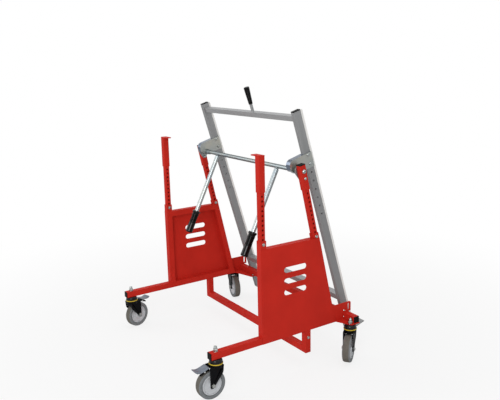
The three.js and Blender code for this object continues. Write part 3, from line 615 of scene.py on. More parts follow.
def soften(node, width):
    """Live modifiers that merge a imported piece's triangles and round its sharp edges."""
    weld = node.modifiers.new("weld", "WELD")
    weld.merge_threshold = 0.002 * MM
    flat = node.modifiers.new("flat", "DECIMATE")
    flat.decimate_type = "DISSOLVE"
    flat.angle_limit = math.radians(1.0)
    bevel = node.modifiers.new("edges", "BEVEL")
    bevel.width = width
    bevel.segments = 3
    bevel.limit_method = "ANGLE"
    bevel.angle_limit = math.radians(40.0)


class CART_OT_panels(bpy.types.Operator):
    """Models the side panels with their slots"""

    bl_idname = "cart.panels"
    bl_label = "Side panels"

    def execute(self, context):
        detail = context.scene.cart_detail
        for side in SIDES:
            node = "side_panel_" + side
            low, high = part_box(node)
            x = (low.x / MM, high.x / MM)
            bottom, top = low.z / MM, high.z / MM
            front, rear = low.y / MM, high.y / MM
            lean = math.tan(POST_LEAN) * (top - bottom)
            outline = [(front, bottom), (rear, bottom), (rear - lean, top), (front, top)]
            panel = cut_plate("panel_" + side, outline, x)
            middle = bottom + PANEL_SLOT_RISE
            for step in (-1, 0, 1):
                centre = (front + PANEL_SLOT_Y, middle + step * detail.slot_pitch / MM)
                slot = slot_outline(centre, detail.slot_length / MM, detail.slot_height / MM)
                drill(panel, cut_plate("slot", slot, (x[0] - 5.0, x[1] + 5.0)))
            round_edges(panel, detail.plate_edge)
            dress(panel, "frame", "red_paint", [node])
        return {"FINISHED"}


class CART_OT_posts(bpy.types.Operator):
    """Models the perforated posts with their sleeves"""

    bl_idname = "cart.posts"
    bl_label = "Posts"

    def execute(self, context):
        front = post("front_post", FRONT_SLEEVE, REST_PLATE - 0.4)
        drill(front, hole_row(HOLE, 40.0, 0.0, -FRONT_SLEEVE - HOLE_INSET, HOLE_PITCH, HOLE_COUNT))
        rear = post("rear_post", REAR_SLEEVE, 0.0)
        drill(rear, hole_row(HOLE, 40.0, 0.0, -REAR_SLEEVE - HOLE_INSET, HOLE_PITCH, HOLE_COUNT))
        for side in SIDES:
            hand = hand_of(side)
            low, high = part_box("front_post_" + side)
            outer = high.x if hand > 0 else low.x
            centre = Vector((outer - hand * TUBE / 2 * MM, (low.y + high.y) / 2, high.z))
            stem = placed(front, "post_" + side, Matrix.Translation(centre))
            reach = (high.x - low.x) / MM
            rest = rest_plate("rest_" + side, reach)
            top = placed(rest, "rest_plate_" + side, Matrix.Translation((
                outer - hand * reach / 2 * MM, centre.y, centre.z,
            )))
            discard(rest)
            dress(joined("front_tube_" + side, stem, top), "front_post_" + side, "red_paint", ["front_post_" + side])
            place = post_frame() @ Matrix.Translation((hand * TRACK / 2 * MM, 0.0, PIVOT_DROP * MM))
            dress(placed(rear, "rear_tube_" + side, place), "rear_lift", "red_paint", ["rear_post_" + side])
        discard(front, rear)
        return {"FINISHED"}


def post(name, sleeve, plate):
    """An inner tube and its sleeve, hanging down Z from the post's top, in millimetres."""
    inner = box_tube(name, TUBE - 5.0, 2.0, (-sleeve - POST_INSERT, -0.5))
    foot = -sleeve + WELD_DROP
    cover = box_tube(name + "_sleeve", TUBE, 2.4, (foot, -plate))
    bead = weld_ring(name + "_weld", TUBE - 5.0, foot)
    return joined(name, inner, cover, bead)


def weld_ring(name, width, z):
    """A thin fillet of weld round a square tube."""
    settle()
    bpy.ops.mesh.primitive_plane_add(size=(width + 1.0) * MM, location=(0.0, 0.0, 0.0))
    piece = bpy.context.object
    piece.name = name
    bpy.ops.object.mode_set(mode="EDIT")
    bpy.ops.mesh.select_all(action="SELECT")
    bpy.ops.transform.translate(value=(0.0, 0.0, (z - WELD_DROP) * MM))
    bpy.ops.mesh.extrude_region_move(TRANSFORM_OT_translate={"value": (0.0, 0.0, 2.6 * MM)})
    close_up()
    pick_faces(piece, lambda face: face.normal.z > 0.9)
    grow = (width + 4.2) / (width + 1.0)
    bpy.ops.transform.resize(value=(grow, grow, 1.0))
    bpy.ops.object.mode_set(mode="OBJECT")
    round_edges(piece, 1.2 * MM, 3)
    return piece


def rest_plate(name, reach):
    """The flat plate on top of a front post, under its own top face."""
    settle()
    bpy.ops.mesh.primitive_cube_add(size=1.0, location=(0.0, 0.0, -REST_PLATE / 2 * MM))
    piece = bpy.context.object
    piece.name = name
    piece.scale = (reach * MM, TUBE * MM, REST_PLATE * MM)
    bpy.ops.object.transform_apply(location=True, rotation=True, scale=True)
    round_edges(piece, 0.8 * MM)
    return piece


class CART_OT_rails(bpy.types.Operator):
    """Models the tilt rails with their holes"""

    bl_idname = "cart.rails"
    bl_label = "Tilt rails"

    def execute(self, context):
        toe = RAIL_TOE
        outline = [
            (RAIL_REAR, RAIL_TOP), (RAIL_FRONT, RAIL_TOP),
            *arc((RAIL_FRONT + toe, RAIL_BOTTOM + toe), toe, 180, 270),
            *arc((RAIL_REAR - toe, RAIL_BOTTOM + toe), toe, 270, 360),
        ]
        rail = cut_plate("rail", outline, (-RAIL_WIDTH / 2, RAIL_WIDTH / 2))
        round_edges(rail, context.scene.cart_detail.tube_edge * 0.9, 3)
        middle = (RAIL_FRONT + RAIL_REAR) / 2
        drill(rail, hole_row(RAIL_HOLE, 40.0, middle, RAIL_HOLE_TOP, RAIL_HOLE_PITCH, RAIL_HOLE_COUNT))
        for side in SIDES:
            place = tilt_frame() @ Matrix.Translation((hand_of(side) * RAIL_X * MM, 0.0, 0.0))
            dress(placed(rail, "rail_" + side, place), "tilt_frame", "grey_paint", ["tilt_rail_" + side])
        discard(rail)
        return {"FINISHED"}


class CART_OT_brackets(bpy.types.Operator):
    """Models the bent brackets between the tilt rails and the pivot bar"""

    bl_idname = "cart.brackets"
    bl_label = "Pivot brackets"

    def execute(self, context):
        bracket = cut_plate("bracket", bracket_outline(), (-CHEEK_OUT, CHEEK_OUT))
        drill(bracket, cut_plate("pocket", bracket_pocket(), (-CHEEK_IN, CHEEK_IN)))
        mouth = [(RAIL_FRONT - 0.3, -60.0), (RAIL_REAR + 20.0, -60.0), (RAIL_REAR + 20.0, 90.0), (RAIL_FRONT - 0.3, 90.0)]
        drill(bracket, cut_plate("mouth", mouth, (-CHEEK_IN, CHEEK_IN)))
        drill(bracket, hole_row(BAR + 0.6, 60.0, 0.0, 0.0, 1.0, 1))
        middle = (RAIL_FRONT + RAIL_REAR) / 2
        drill(bracket, hole_row(RAIL_HOLE, 60.0, middle, RAIL_HOLE_TOP, RAIL_HOLE_PITCH, 2))
        round_edges(bracket, 0.7 * MM)
        # Faces across the cheeks take the second finish, the darker bluish zinc of painted reflection
        for face in bracket.data.polygons:
            face.material_index = int(abs(face.normal.x) < 0.5)
        for side in SIDES:
            place = tilt_frame() @ Matrix.Translation((hand_of(side) * RAIL_X * MM, 0.0, 0.0))
            piece = placed(bracket, "bracket_" + side, place)
            dress(piece, "tilt_frame", ("zinc_sheet", "zinc_band_painted_reflection"), ["pivot_bracket_" + side])
        discard(bracket)
        return {"FINISHED"}


def bracket_nose(inset, rear):
    """The top and the nose of a bracket, inset from its outside, and the point and angle where the nose meets the eye."""
    front, chin, top = BRACKET_FRONT, BRACKET_CHIN, BRACKET_TOP
    slope = math.atan2(chin, front) + math.acos(BRACKET_EYE / math.hypot(front, chin))
    touch = Vector((math.cos(slope), math.sin(slope))) * (BRACKET_EYE - inset)
    along = Vector((-math.sin(slope), math.cos(slope)))
    lip = touch + along * ((front + inset - touch.x) / along.x)
    brow = arc((front + BRACKET_BROW, top - BRACKET_BROW), BRACKET_BROW - inset, 90, 180, 24)
    return [(rear, top - inset), *brow, tuple(lip)], touch, along, math.degrees(slope)


def bracket_outline():
    """The side of a bracket, from over the rail round the nose and the eye."""
    nose, _, _, slope = bracket_nose(0.0, RAIL_REAR)
    return [*nose, *arc((0.0, 0.0), BRACKET_EYE, slope, 270, 24), (RAIL_REAR, -BRACKET_EYE)]


def bracket_pocket():
    """The space between a bracket's cheeks, open below and behind."""
    rear, foot = RAIL_REAR + 20.0, -BRACKET_EYE - 20.0
    nose, touch, along, _ = bracket_nose(CHEEK, rear)
    mouth = touch + along * ((foot - touch.y) / along.y)
    return [*nose, tuple(touch), tuple(mouth), (rear, foot)]


class CART_OT_bar(bpy.types.Operator):
    """Models the pivot bar, its flanges and the push handles"""

    bl_idname = "cart.bar"
    bl_label = "Pivot bar and handles"

    def execute(self, context):
        r, collar, end = BAR / 2, COLLAR / 2, BAR_END
        half = [
            (0.0, end), (r - 0.8, end), (r, end - 0.8), (r, COLLAR_FACE), (collar - 0.7, COLLAR_FACE),
            (collar, COLLAR_FACE - 0.7), (collar, COLLAR_FACE - COLLAR_WIDTH + 0.7),
            (collar - 0.7, COLLAR_FACE - COLLAR_WIDTH), (r, COLLAR_FACE - COLLAR_WIDTH),
        ]
        rod = turned("bar", [*half, *((radius, -height) for radius, height in reversed(half))], 48)
        shaft = placed(rod, "bar_shaft", Matrix.Translation(PIVOT) @ LAY_X)
        flange = bar_flange()
        stub = turned("stub", [
            (0.0, -STUB_LENGTH), (STUB / 2, -STUB_LENGTH), (STUB / 2, -r - 4.0), (STUB / 2 + 2.4, -r + 0.6),
            (STUB / 2 + 1.0, -r + 3.0), (0.0, -r + 3.0),
        ], 32)
        tube = turned("tube", ring([
            (STUB / 2 + 0.3, -ARM_START), (ARM / 2 - 0.9, -ARM_START), (ARM / 2, -ARM_START - 1.2),
            (ARM / 2, -ARM_GRIP_START - 60.0), (STUB / 2 + 0.3, -ARM_GRIP_START - 60.0),
        ]), 40)
        extras = []
        for side in SIDES:
            hand = hand_of(side)
            mirror = Matrix.Diagonal((hand, 1.0, 1.0, 1.0))
            extras.append(placed(flange, "flange_" + side, post_frame() @ mirror))
            extras.append(placed(stub, "stub_" + side, arm_frame(side)))
            arm = placed(tube, "handle_tube_" + side, arm_frame(side))
            dress(arm, "rear_lift", "zinc", ["push_handle_" + side])
        # The bar takes the darkened zinc of painted shade
        dress(joined("pivot_shaft", shaft, *extras), "rear_lift", "zinc_bar", ["pivot_bar"])
        discard(rod, flange, stub, tube)
        return {"FINISHED"}


def bar_flange():
    """The plate at the bar's end: an eye round the pivot that narrows down the post."""
    slope = math.degrees(math.asin((FLANGE_EYE - FLANGE_TIP) / FLANGE_DROP))
    outline = [
        *arc((0.0, 0.0), FLANGE_EYE, -slope, 180 + slope, 36),
        *arc((0.0, -FLANGE_DROP), FLANGE_TIP, 180 + slope, 360 - slope, 20),
    ]
    plate = cut_plate("flange", outline, (BAR_END - FLANGE, BAR_END))
    round_edges(plate, 0.6 * MM, 2, 40.0)
    return plate


class CART_OT_grips(bpy.types.Operator):
    """Models the ribbed grips of the push handles and the tilt handle"""

    bl_idname = "cart.grips"
    bl_label = "Grips"

    def execute(self, context):
        detail = context.scene.cart_detail
        top, end = -ARM_GRIP_START, -ARM_GRIP_END
        body, collar = ARM_GRIP / 2, ARM_COLLAR / 2
        profile = [
            (ARM / 2 + 0.3, top - 1.0), (ARM / 2 + 1.2, top), (collar - 3.0, top), (collar - 0.8, top - 1.0),
            (collar, top - 3.0), (collar, top - 8.0), (collar - 0.6, top - 10.0), (collar - 2.8, top - 12.0),
            (body - 1.6, top - 14.0), (body - 1.6, top - 16.0), (body - 0.7, top - 18.0),
        ]
        ribs = detail.grip_ribs
        start, stop = top - 22.0, end + GRIP_SMOOTH
        pitch = (start - stop) / ribs
        for i in range(ribs):
            z = start - i * pitch
            waist = 1.2 * math.sin(math.pi * (i + 0.5) / ribs)
            profile += [
                (body - 0.5 - waist, z), (body - 0.5 - waist, z - pitch * 0.55),
                (body - 1.5 - waist, z - pitch * 0.68), (body - 1.5 - waist, z - pitch * 0.87),
            ]
        profile += [
            (body - 1.2, stop - 1.0), (body - 0.9, stop - 3.0), (body - 0.7, end + 26.0), (body - 0.2, end + 12.0),
            (body, end + 8.0), (body - 0.4, end + 4.0), (body - 1.8, end + 1.6),
            (body - 4.0, end + 0.4), (body - 6.5, end), (3.2, end), (2.6, end + 1.4), (0.0, end + 1.4),
        ]
        grip = turned("grip", profile, 56)
        for face in grip.data.polygons:
            face.material_index = int(not stop < face.center.z / MM < top - 13.0)
        for side in SIDES:
            piece = placed(grip, "handle_grip_" + side, arm_frame(side))
            dress(piece, "rear_lift", ("black_rubber", "black_gloss"), ["push_grip_" + side])
        discard(grip)
        self.tilt_grip()
        return {"FINISHED"}

    def tilt_grip(self):
        foot, top = TILT_GRIP_FOOT, TILT_GRIP_TOP
        neck, head = 10.0, TILT_GRIP_HEAD / 2
        profile = [(7.8, foot), (neck - 0.8, foot), (neck, foot + 1.0), (neck, foot + 3.4), (neck - 0.5, foot + 4.4)]
        ribs = 9
        start, stop = foot + 8.0, top - 14.0
        pitch = (stop - start) / ribs
        for i in range(ribs):
            z = start + i * pitch
            r = neck + (head - neck) * (z - foot) / (stop - foot)
            profile += [(r, z), (r + 0.2, z + pitch * 0.66), (r - 0.15, z + pitch * 0.74), (r - 0.15, z + pitch * 0.92)]
        profile += [
            (head, stop + 2.0), (head, top - 3.2), (head - 0.4, top - 1.6), (head - 1.4, top - 0.5), (head - 3.0, top),
            (2.6, top), (2.2, top - 0.6), (0.0, top - 0.6),
        ]
        grip = turned("tilt_grip", profile, 48)
        place = tilt_frame() @ Matrix.Translation((TILT_GRIP_X * MM, (RAIL_FRONT + RAIL_REAR) / 2 * MM, 0.0))
        dress(placed(grip, "tilt_handle_cover", place), "tilt_frame", "black_rubber", ["tilt_handle_grip"])
        discard(grip)


class CART_OT_casters(bpy.types.Operator):
    """Models the forks, swivel seals, wheels and stem nuts"""

    bl_idname = "cart.casters"
    bl_label = "Casters"

    def execute(self, context):
        tyre, hub = tyre_master(), hub_master()
        seal = turned("seal", ring([
            (30.2, 153.0), (31.0, 153.0), (31.5, 153.7), (31.5, 156.9), (31.0, 157.6), (30.2, 157.6),
        ]), 64)
        axle_end = hex_bolt("axle_end", 14.0, 5.0, 0.6)
        nut = stem_nut()
        for corner in CORNERS:
            own = caster_frame(corner)
            fork = fork_master(corner.startswith("front"))
            finish = ("black_fork", "swivel_black")
            dress(placed(fork, corner + "_fork_body", own), corner + "_fork", finish, [corner + "_caster_fork"])
            discard(fork)
            if corner.startswith("front"):
                brake(corner, own)
            dress(placed(seal, corner + "_swivel_seal", own), corner + "_fork", "seal_yellow")
            hubs = Matrix.Translation(JOINTS[corner + "_roll"]["pos_m"]) @ own.to_3x3().to_4x4() @ LAY_X
            dress(placed(tyre, corner + "_tread", hubs), corner + "_wheel", ("tyre_grey", "tyre_side"), [corner + "_tyre"])
            dress(placed(hub, corner + "_hub", hubs), corner + "_wheel", "hub_grey", [corner + "_wheel_hub"])
            heads = []
            for hand in (-1.0, 1.0):
                spot = own @ Vector((hand * FORK_FACE * MM, -TRAIL * MM, WHEEL / 2 * MM))
                heads.append(placed(axle_end, f"{corner}_axle_{hand}", aimed(spot, own.to_3x3() @ Vector((hand, 0.0, 0.0)))))
            dress(joined(corner + "_axle_bolt", *heads), corner + "_fork", "zinc_bolt")
            node = corner + "_caster_stem"
            top = (DECK + (TUBE if corner.startswith("front") else 4.0)) * MM
            low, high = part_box(node)
            spot = Vector(((low.x + high.x) / 2, (low.y + high.y) / 2, top))
            dress(placed(nut, corner + "_stem_nut", Matrix.Translation(spot)), "frame", "zinc_bolt", [node])
        discard(tyre, hub, seal, axle_end, nut)
        return {"FINISHED"}


def tyre_master():
    """The tyre about Z, its tread in one finish and its sides in another."""
    r = WHEEL / 2
    half = [
        (46.8, 12.0), (48.6, 12.2), (49.1, 15.4), (50.2, 16.6), (54.0, 17.4), (59.0, 17.8), (61.8, 17.4), (63.4, 16.2),
        (64.4, 14.0), (64.9, 10.4), (r, 5.0),
    ]
    tyre = turned("tyre", ring([*half, *((radius, -height) for radius, height in reversed(half))]), 96)
    for face in tyre.data.polygons:
        centre = face.center
        side = abs(centre.z) > 15.0 * MM or math.hypot(centre.x, centre.y) < 62.0 * MM
        face.material_index = 1 if side else 0
    return tyre


def hub_master():
    """The moulded hub about Z: rim, dished web and boss."""
    half = [
        (6.3, 19.6), (7.2, 20.0), (13.2, 20.0), (14.0, 19.3), (14.6, 13.4), (15.6, 12.5), (17.5, 12.2),
        (32.0, 11.8), (36.0, 12.2), (38.4, 14.0), (39.4, 14.2), (40.0, 13.8), (40.3, 12.4), (41.3, 12.4),
        (41.6, 15.2), (42.4, 15.9), (45.2, 16.0), (46.2, 15.2), (46.6, 11.8),
    ]
    return turned("hub", ring([*half, *((radius, -height) for radius, height in reversed(half))]), 96)


def stem_nut():
    """The stem's nut and its domed end, standing on Z = 0."""
    nut = hex_bolt("stem_nut", 18.5, 11.0, 0.57)
    end = turned("stem_end", [
        (7.3, 12.0), (7.3, 22.4), (6.4, 23.7), (5.6, 24.0), (4.4, 24.0), (3.8, 23.2), (3.6, 19.5), (0.0, 19.0),
    ], 32)
    shank = turned("stem_shank", [(0.0, -38.0), (6.0, -38.0), (6.0, 2.0), (0.0, 2.0)], 24)
    return joined("stem_nut", nut, end, shank)


def fork_master(braked):
    """The fork about the swivel axis, its wheel trailing along -Y, in millimetres from the floor."""
    crown = turned("crown", ring([
        (6.4, 135.0), (28.4, 135.0), (29.6, 135.8), (30.0, 137.4), (30.0, 149.6), (30.4, 151.0), (30.4, 157.8),
        (29.2, 158.6), (29.0, 159.6), (29.0, 164.0), (28.2, 168.0), (26.4, 172.0), (24.4, 174.0), (22.8, 174.7),
        (6.4, 174.7),
    ]), 64)
    outline = [
        (24.0, 149.6), (-37.4, 149.6), (-41.0, 147.0), (-42.0, 141.0),
        *arc((-37.0, 57.0), 5.0, 180, 270, 8), *arc((-32.5, 57.0), 5.0, 270, 319, 6),
        (20.0, 112.0), (22.4, 122.0), (25.0, 147.6),
    ]
    skirt = cut_plate("skirt", [(21.4, 149.0), (18.2, 149.0), (16.4, 122.0), (19.4, 122.0)], (-20.6, 20.6))
    pieces = [crown, skirt]
    for hand in (-1.0, 1.0):
        inner, outer = 20.5 * hand, FORK_FACE * hand
        leg = cut_plate("leg", outline, (inner, outer))
        pick_faces(leg, lambda face: face.normal.x * hand > 0.9)
        bpy.ops.mesh.inset(thickness=3.2 * MM, depth=0.0)
        bpy.ops.mesh.inset(thickness=1.0 * MM, depth=-1.2 * MM)
        bpy.ops.object.mode_set(mode="OBJECT")
        round_edges(leg, 0.7 * MM)
        pieces.append(leg)
        pad = turned("pad", [(0.0, 20.5), (7.4, 20.5), (7.4, FORK_FACE - 0.4), (6.8, FORK_FACE), (0.0, FORK_FACE)], 32)
        boss = placed(pad, "pad_placed", Matrix.Translation((0.0, -TRAIL * MM, WHEEL / 2 * MM)) @ Matrix.Diagonal((hand, 1.0, 1.0, 1.0)) @ LAY_X)
        discard(pad)
        pieces.append(boss)
    axle = turned("axle", [(0.0, -21.0), (6.0, -21.0), (6.0, 21.0), (0.0, 21.0)], 24)
    pieces.append(placed(axle, "axle_placed", Matrix.Translation((0.0, -TRAIL * MM, WHEEL / 2 * MM)) @ LAY_X))
    discard(axle)
    if braked:
        ear = [
            (-15.0, 149.6), (-44.0, 144.6), (-62.0, 140.4), (-72.0, 136.6), (-80.0, 131.6),
            *arc((-82.6, 123.6), 4.0, 40, 250, 14), (-62.0, 127.6), (-48.0, 132.2), (-TRAIL, 136.0), (-15.0, 136.4),
        ]
        for x in ((-13.0, -9.0), (9.0, 13.0)):
            plate = cut_plate("ear", ear, x)
            round_edges(plate, 0.6 * MM)
            pieces.append(plate)
    fork = joined("fork", *pieces)
    for face in fork.data.polygons:
        face.material_index = 1 if face.center.z > 149.8 * MM else 0
    return fork


def brake(corner, own):
    """The pressed brake pedal on its pin, and the rivets in the ears, for one front caster."""
    upper = [
        (-45.0, 152.0), (-52.0, 149.6), (-60.0, 146.9), (-70.0, 143.8), (-79.0, 141.4), (-87.0, 140.6), (-94.0, 141.4),
        (-99.0, 143.0), (-109.0, 146.6),
    ]
    lower = [(y, z - PEDAL_THICK) for y, z in reversed(upper)]
    plate = cut_plate("pedal_plate", [*upper, *lower], (-PEDAL_HALF, PEDAL_HALF))
    pick_edges(plate, lambda a, b: max(a.y, b.y) < -108.0 * MM and abs(a.x - b.x) < 0.1 * MM)
    bpy.ops.mesh.bevel(offset=7.0 * MM, segments=6)
    bpy.ops.object.mode_set(mode="OBJECT")
    round_edges(plate, 0.8 * MM)
    lug = cut_plate("pedal_lug", [
        *arc((-PEDAL_BACK, PEDAL_Z), 6.0, 180, 360, 20), (-PEDAL_BACK + 6.0, 146.0), (-PEDAL_BACK - 6.0, 142.6),
    ], (-8.7, 8.7))
    drill(lug, hole_row(6.6, 40.0, -PEDAL_BACK, PEDAL_Z, 1.0, 1))
    pedal = placed(joined("pedal", plate, lug), corner + "_pedal_plate", own)
    dress(pedal, corner + "_pedal", "pedal_grey", [corner + "_brake_pedal"])
    discard(plate)
    pin = turned("pin", [
        (0.0, -16.4), (3.6, -16.4), (4.6, -15.4), (4.6, -13.1), (3.0, -13.0), (3.0, 13.0), (4.6, 13.1), (4.6, 15.4),
        (3.6, 16.4), (0.0, 16.4),
    ], 24)
    made = []
    for y, z in ((-PEDAL_BACK, PEDAL_Z), (-37.0, 140.6)):
        spot = own @ Matrix.Translation((0.0, y * MM, z * MM)) @ LAY_X
        made.append(placed(pin, f"{corner}_pin_{y}", spot))
    discard(pin)
    dress(joined(corner + "_brake_pin", *made), corner + "_fork", "zinc_bolt")


class CART_OT_fasteners(bpy.types.Operator):
    """Models the bolts, nuts and pins"""

    bl_idname = "cart.fasteners"
    bl_label = "Fasteners"

    def execute(self, context):
        bolt = hex_bolt("bolt", 11.5, 5.0, 0.6)
        small = hex_bolt("small_bolt", 11.0, 4.5, 0.62)
        nut = lock_nut("nut", 11.5)
        dome = dome_bolt("dome", 20.0, 7.0)
        button = dome_bolt("button", 13.0, 4.5)
        rivet = dome_bolt("rivet", 9.0, 2.8)
        for side in SIDES:
            hand = hand_of(side)
            out = Vector((hand, 0.0, 0.0))
            low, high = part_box("side_frame_" + side)
            outer, inner = (high.x, low.x) if hand > 0 else (low.x, high.x)
            for end in ("front", "rear"):
                node = f"{end}_lock_bolt_{side}"
                a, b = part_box(node)
                y, z = (a.y + b.y) / 2, (a.z + b.z) / 2
                head = placed(bolt, node + "_head", aimed(Vector((outer, y, z)), out))
                tail = placed(nut, node + "_nut", aimed(Vector((inner, y, z)), -out))
                dress(joined(f"{end}_lock_{side}", head, tail), "frame", "zinc_bolt", [node])
            head = placed(dome, "pivot_head_" + side, aimed(Vector((outer, PIVOT.y, PIVOT.z)), out))
            spot = post_frame() @ Vector((0.0, 0.0, -FLANGE_BOLT * MM))
            lower = placed(button, "flange_head_" + side, aimed(Vector((outer, spot.y, spot.z)), out))
            flange_x = PIVOT.x + hand * (BAR_END - FLANGE) * MM
            back = placed(nut, "flange_nut_" + side, aimed(Vector((flange_x, spot.y, spot.z)), -out))
            dress(joined("post_bolts_" + side, head, lower, back), "rear_lift", "zinc_bolt", ["pivot_bolt_" + side])
            made = []
            for i in range(2):
                own = Vector((0.0, (RAIL_FRONT + RAIL_REAR) / 2 * MM, (RAIL_HOLE_TOP - i * RAIL_HOLE_PITCH) * MM))
                spot = tilt_frame() @ own
                x = PIVOT.x + hand * (RAIL_X + CHEEK_OUT) * MM
                made.append(placed(button, f"cheek_head_{side}_{i}", aimed(Vector((x, spot.y, spot.z)), out)))
                x = PIVOT.x + hand * (RAIL_X - CHEEK_OUT) * MM
                made.append(placed(nut, f"cheek_nut_{side}_{i}", aimed(Vector((x, spot.y, spot.z)), -out)))
            dress(joined("bracket_bolts_" + side, *made), "tilt_frame", "zinc_bolt")
            made = []
            for way in (-1.0, 1.0):
                spot = arm_frame(side) @ Vector((way * ARM / 2 * MM, 0.0, -ARM_PIN * MM))
                made.append(placed(rivet, f"pin_{side}_{way}", aimed(spot, (way, 0.0, 0.0))))
            dress(joined("handle_pin_" + side, *made), "rear_lift", "zinc_bolt")
            made = []
            for z in (44.0, 13.0):
                spot = Vector((outer, WEB_BOLT_Y * MM, (DECK + z) * MM))
                made.append(placed(rivet, f"web_{side}_{z}", aimed(spot, out)))
            spot = Vector((outer, YOKE_Y * MM, (DECK - 36.0) * MM))
            made.append(placed(small, "yoke_" + side, aimed(spot, out)))
            plate = Vector((PIVOT.x + hand * 322.0 * MM, (WEB_BOLT_Y - 2.0) * MM, (DECK + 4.0) * MM))
            made.append(placed(small, "plate_" + side, Matrix.Translation(plate)))
            dress(joined("frame_bolts_" + side, *made), "frame", "zinc_bolt")
        discard(bolt, small, nut, dome, button, rivet)
        return {"FINISHED"}


NODE_FINISH = {
    "red_paint": ("side_frame", "side_panel", "corner_bracket", "u_frame", "crossbeam", "front_post", "rear_post"),
    "grey_paint": ("tilt_rail", "sheet_rest"),
    # The cross tube takes the lightened grey of painted light
    "grey_tube_painted_light": ("cross_tube",),
    "zinc": ("bolt", "caster_stem", "pivot_bar", "push_handle", "pivot_bracket"),
    "black_rubber": ("grip",),
    "white_plastic": ("wear_strip",),
    "black_fork": ("caster_fork",),
    "pedal_grey": ("brake_pedal",),
    "hub_grey": ("wheel_hub",),
    "tyre_grey": ("tyre",),
}


def slot_of(node):
    """The finish of a node."""
    if "_cap_" in node:
        return "black_plastic"
    for finish, parts in NODE_FINISH.items():
        if any(part in node for part in parts):
            return finish
    raise RuntimeError("no finish for " + node)


class CART_OT_finishes(bpy.types.Operator):
    """Gives every piece its finish"""

    bl_idname = "cart.finishes"
    bl_label = "Finishes"

    def execute(self, context):
        make_materials(context.scene.cart_finish)
        for name, node in frame["nodes"].items():
            node.data.materials.clear()
            node.data.materials.append(FINISHES[slot_of(name)])
        return {"FINISHED"}


class CART_OT_stage(bpy.types.Operator):
    """Sets the floor, the lamps and the camera"""

    bl_idname = "cart.stage"
    bl_label = "Stage"

    def execute(self, context):
        stage = context.scene.cart_stage
        bpy.ops.object.select_all(action="DESELECT")
        bpy.ops.mesh.primitive_plane_add(size=30.0, location=(0.0, 0.0, -0.0005))
        floor = context.object
        floor.name = "floor"
        floor.data.materials.append(floor_material())
        light_room(context.scene, stage.ambient)
        add_lamp("key_lamp", (3.2, -3.1, 2.1), 1.7, stage.key_power)
        add_lamp("fill_lamp", (-2.8, -2.6, 2.2), 2.4, stage.fill_power)
        add_lamp("top_lamp", (0.2, 0.6, 4.2), 3.0, stage.top_power)
        camera = bpy.data.objects.new("camera", bpy.data.cameras.new("camera"))
        context.scene.collection.objects.link(camera)
        camera.data.lens = stage.lens
        camera.data.sensor_width = 36.0
        camera.data.sensor_fit = "HORIZONTAL"
        camera.matrix_world = (
            Matrix.Translation(stage.place)
            @ Matrix.Rotation(stage.heading, 4, "Z")
            @ Matrix.Rotation(math.pi / 2 - stage.pitch, 4, "X")
            @ Matrix.Rotation(stage.roll, 4, "Z")
        )
        context.scene.camera = camera
        context.scene.view_settings.view_transform = "Standard"
        return {"FINISHED"}


def floor_material():
    """A white floor that keeps the soft shadow of the cart and fades into the white room."""
    material, principled, tree = shader("cart_floor")
    principled.inputs["Base Color"].default_value = (0.70, 0.70, 0.70, 1.0)
    principled.inputs["Roughness"].default_value = 0.9
    place = tree.nodes.new("ShaderNodeTexCoord")
    reach = tree.nodes.new("ShaderNodeVectorMath")
    reach.operation = "LENGTH"
    fade = tree.nodes.new("ShaderNodeMapRange")
    fade.interpolation_type = "SMOOTHSTEP"
    fade.inputs["From Min"].default_value = 0.7
    fade.inputs["From Max"].default_value = 2.6
    fade.inputs["To Min"].default_value = 0.80
    path = tree.nodes.new("ShaderNodeLightPath")
    seen = tree.nodes.new("ShaderNodeMath")
    seen.operation = "MULTIPLY"
    glow = tree.nodes.new("ShaderNodeEmission")
    blend = tree.nodes.new("ShaderNodeMixShader")
    output = tree.nodes["Material Output"]
    tree.links.new(place.outputs["Object"], reach.inputs[0])
    tree.links.new(reach.outputs["Value"], fade.inputs["Value"])
    tree.links.new(path.outputs["Is Camera Ray"], seen.inputs[0])
    tree.links.new(fade.outputs["Result"], seen.inputs[1])
    tree.links.new(seen.outputs["Value"], blend.inputs["Fac"])
    tree.links.new(principled.outputs["BSDF"], blend.inputs[1])
    tree.links.new(glow.outputs["Emission"], blend.inputs[2])
    tree.links.new(blend.outputs["Shader"], output.inputs["Surface"])
    return material


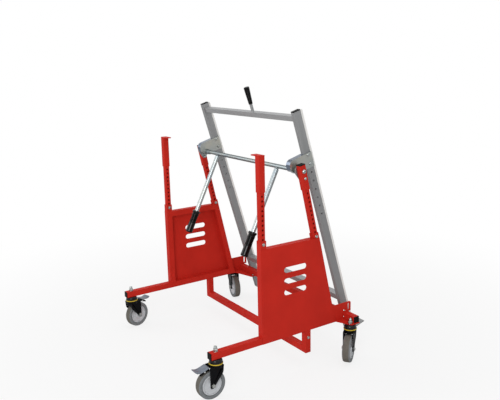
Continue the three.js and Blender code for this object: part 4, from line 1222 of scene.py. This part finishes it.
def light_room(scene, ambient):
    """A plain bright room, seen white by the camera and in reflections."""
    world = scene.world or bpy.data.worlds.new("room")
    scene.world = world
    world.use_nodes = True
    tree = world.node_tree
    tree.nodes.clear()
    path = tree.nodes.new("ShaderNodeLightPath")
    seen = tree.nodes.new("ShaderNodeMath")
    seen.operation = "MAXIMUM"
    shown = tree.nodes.new("ShaderNodeMath")
    shown.operation = "MAXIMUM"
    strength = tree.nodes.new("ShaderNodeMapRange")
    strength.inputs["To Min"].default_value = ambient
    strength.inputs["To Max"].default_value = 1.0
    background = tree.nodes.new("ShaderNodeBackground")
    background.inputs["Color"].default_value = (1.0, 1.0, 1.0, 1.0)
    output = tree.nodes.new("ShaderNodeOutputWorld")
    tree.links.new(path.outputs["Is Camera Ray"], seen.inputs[0])
    tree.links.new(path.outputs["Is Glossy Ray"], seen.inputs[1])
    tree.links.new(seen.outputs["Value"], shown.inputs[0])
    tree.links.new(path.outputs["Is Transmission Ray"], shown.inputs[1])
    tree.links.new(shown.outputs["Value"], strength.inputs["Value"])
    tree.links.new(strength.outputs["Result"], background.inputs["Strength"])
    tree.links.new(background.outputs["Background"], output.inputs["Surface"])


def add_lamp(name, place, size, power):
    """A soft square lamp aimed at the middle of the cart."""
    lamp = bpy.data.objects.new(name, bpy.data.lights.new(name, "AREA"))
    bpy.context.scene.collection.objects.link(lamp)
    lamp.data.energy = power
    lamp.data.size = size
    aim = Vector((0.0, 0.0, 0.6)) - Vector(place)
    lamp.location = place
    lamp.rotation_euler = aim.to_track_quat("-Z", "Y").to_euler()


class CART_PT_panel(bpy.types.Panel):
    """Lists the cart's operators and settings"""

    bl_label = "Sheet goods cart"
    bl_idname = "CART_PT_panel"
    bl_space_type = "VIEW_3D"
    bl_region_type = "UI"
    bl_category = "Cart"

    def draw(self, context):
        for operator in OPERATORS:
            self.layout.operator(operator.bl_idname)
        for group in (context.scene.cart_finish, context.scene.cart_detail, context.scene.cart_stage):
            for name in group.__annotations__:
                self.layout.prop(group, name)


OPERATORS = (
    CART_OT_finishes, CART_OT_edges, CART_OT_panels, CART_OT_posts, CART_OT_rails, CART_OT_brackets, CART_OT_bar,
    CART_OT_grips, CART_OT_casters, CART_OT_fasteners, CART_OT_stage,
)
CLASSES = (CartFinish, CartDetail, CartStage, *OPERATORS, CART_PT_panel)


def register():
    for item in CLASSES:
        bpy.utils.register_class(item)
    bpy.types.Scene.cart_finish = PointerProperty(type=CartFinish)
    bpy.types.Scene.cart_detail = PointerProperty(type=CartDetail)
    bpy.types.Scene.cart_stage = PointerProperty(type=CartStage)


def unregister():
    del bpy.types.Scene.cart_stage
    del bpy.types.Scene.cart_detail
    del bpy.types.Scene.cart_finish
    for item in reversed(CLASSES):
        bpy.utils.unregister_class(item)


def main():
    register()
    bpy.ops.cart.finishes()
    bpy.ops.cart.edges()
    bpy.ops.cart.panels()
    bpy.ops.cart.posts()
    bpy.ops.cart.rails()
    bpy.ops.cart.brackets()
    bpy.ops.cart.bar()
    bpy.ops.cart.grips()
    bpy.ops.cart.casters()
    bpy.ops.cart.fasteners()
    bpy.ops.cart.stage()


if __name__ == "__main__":
    main()
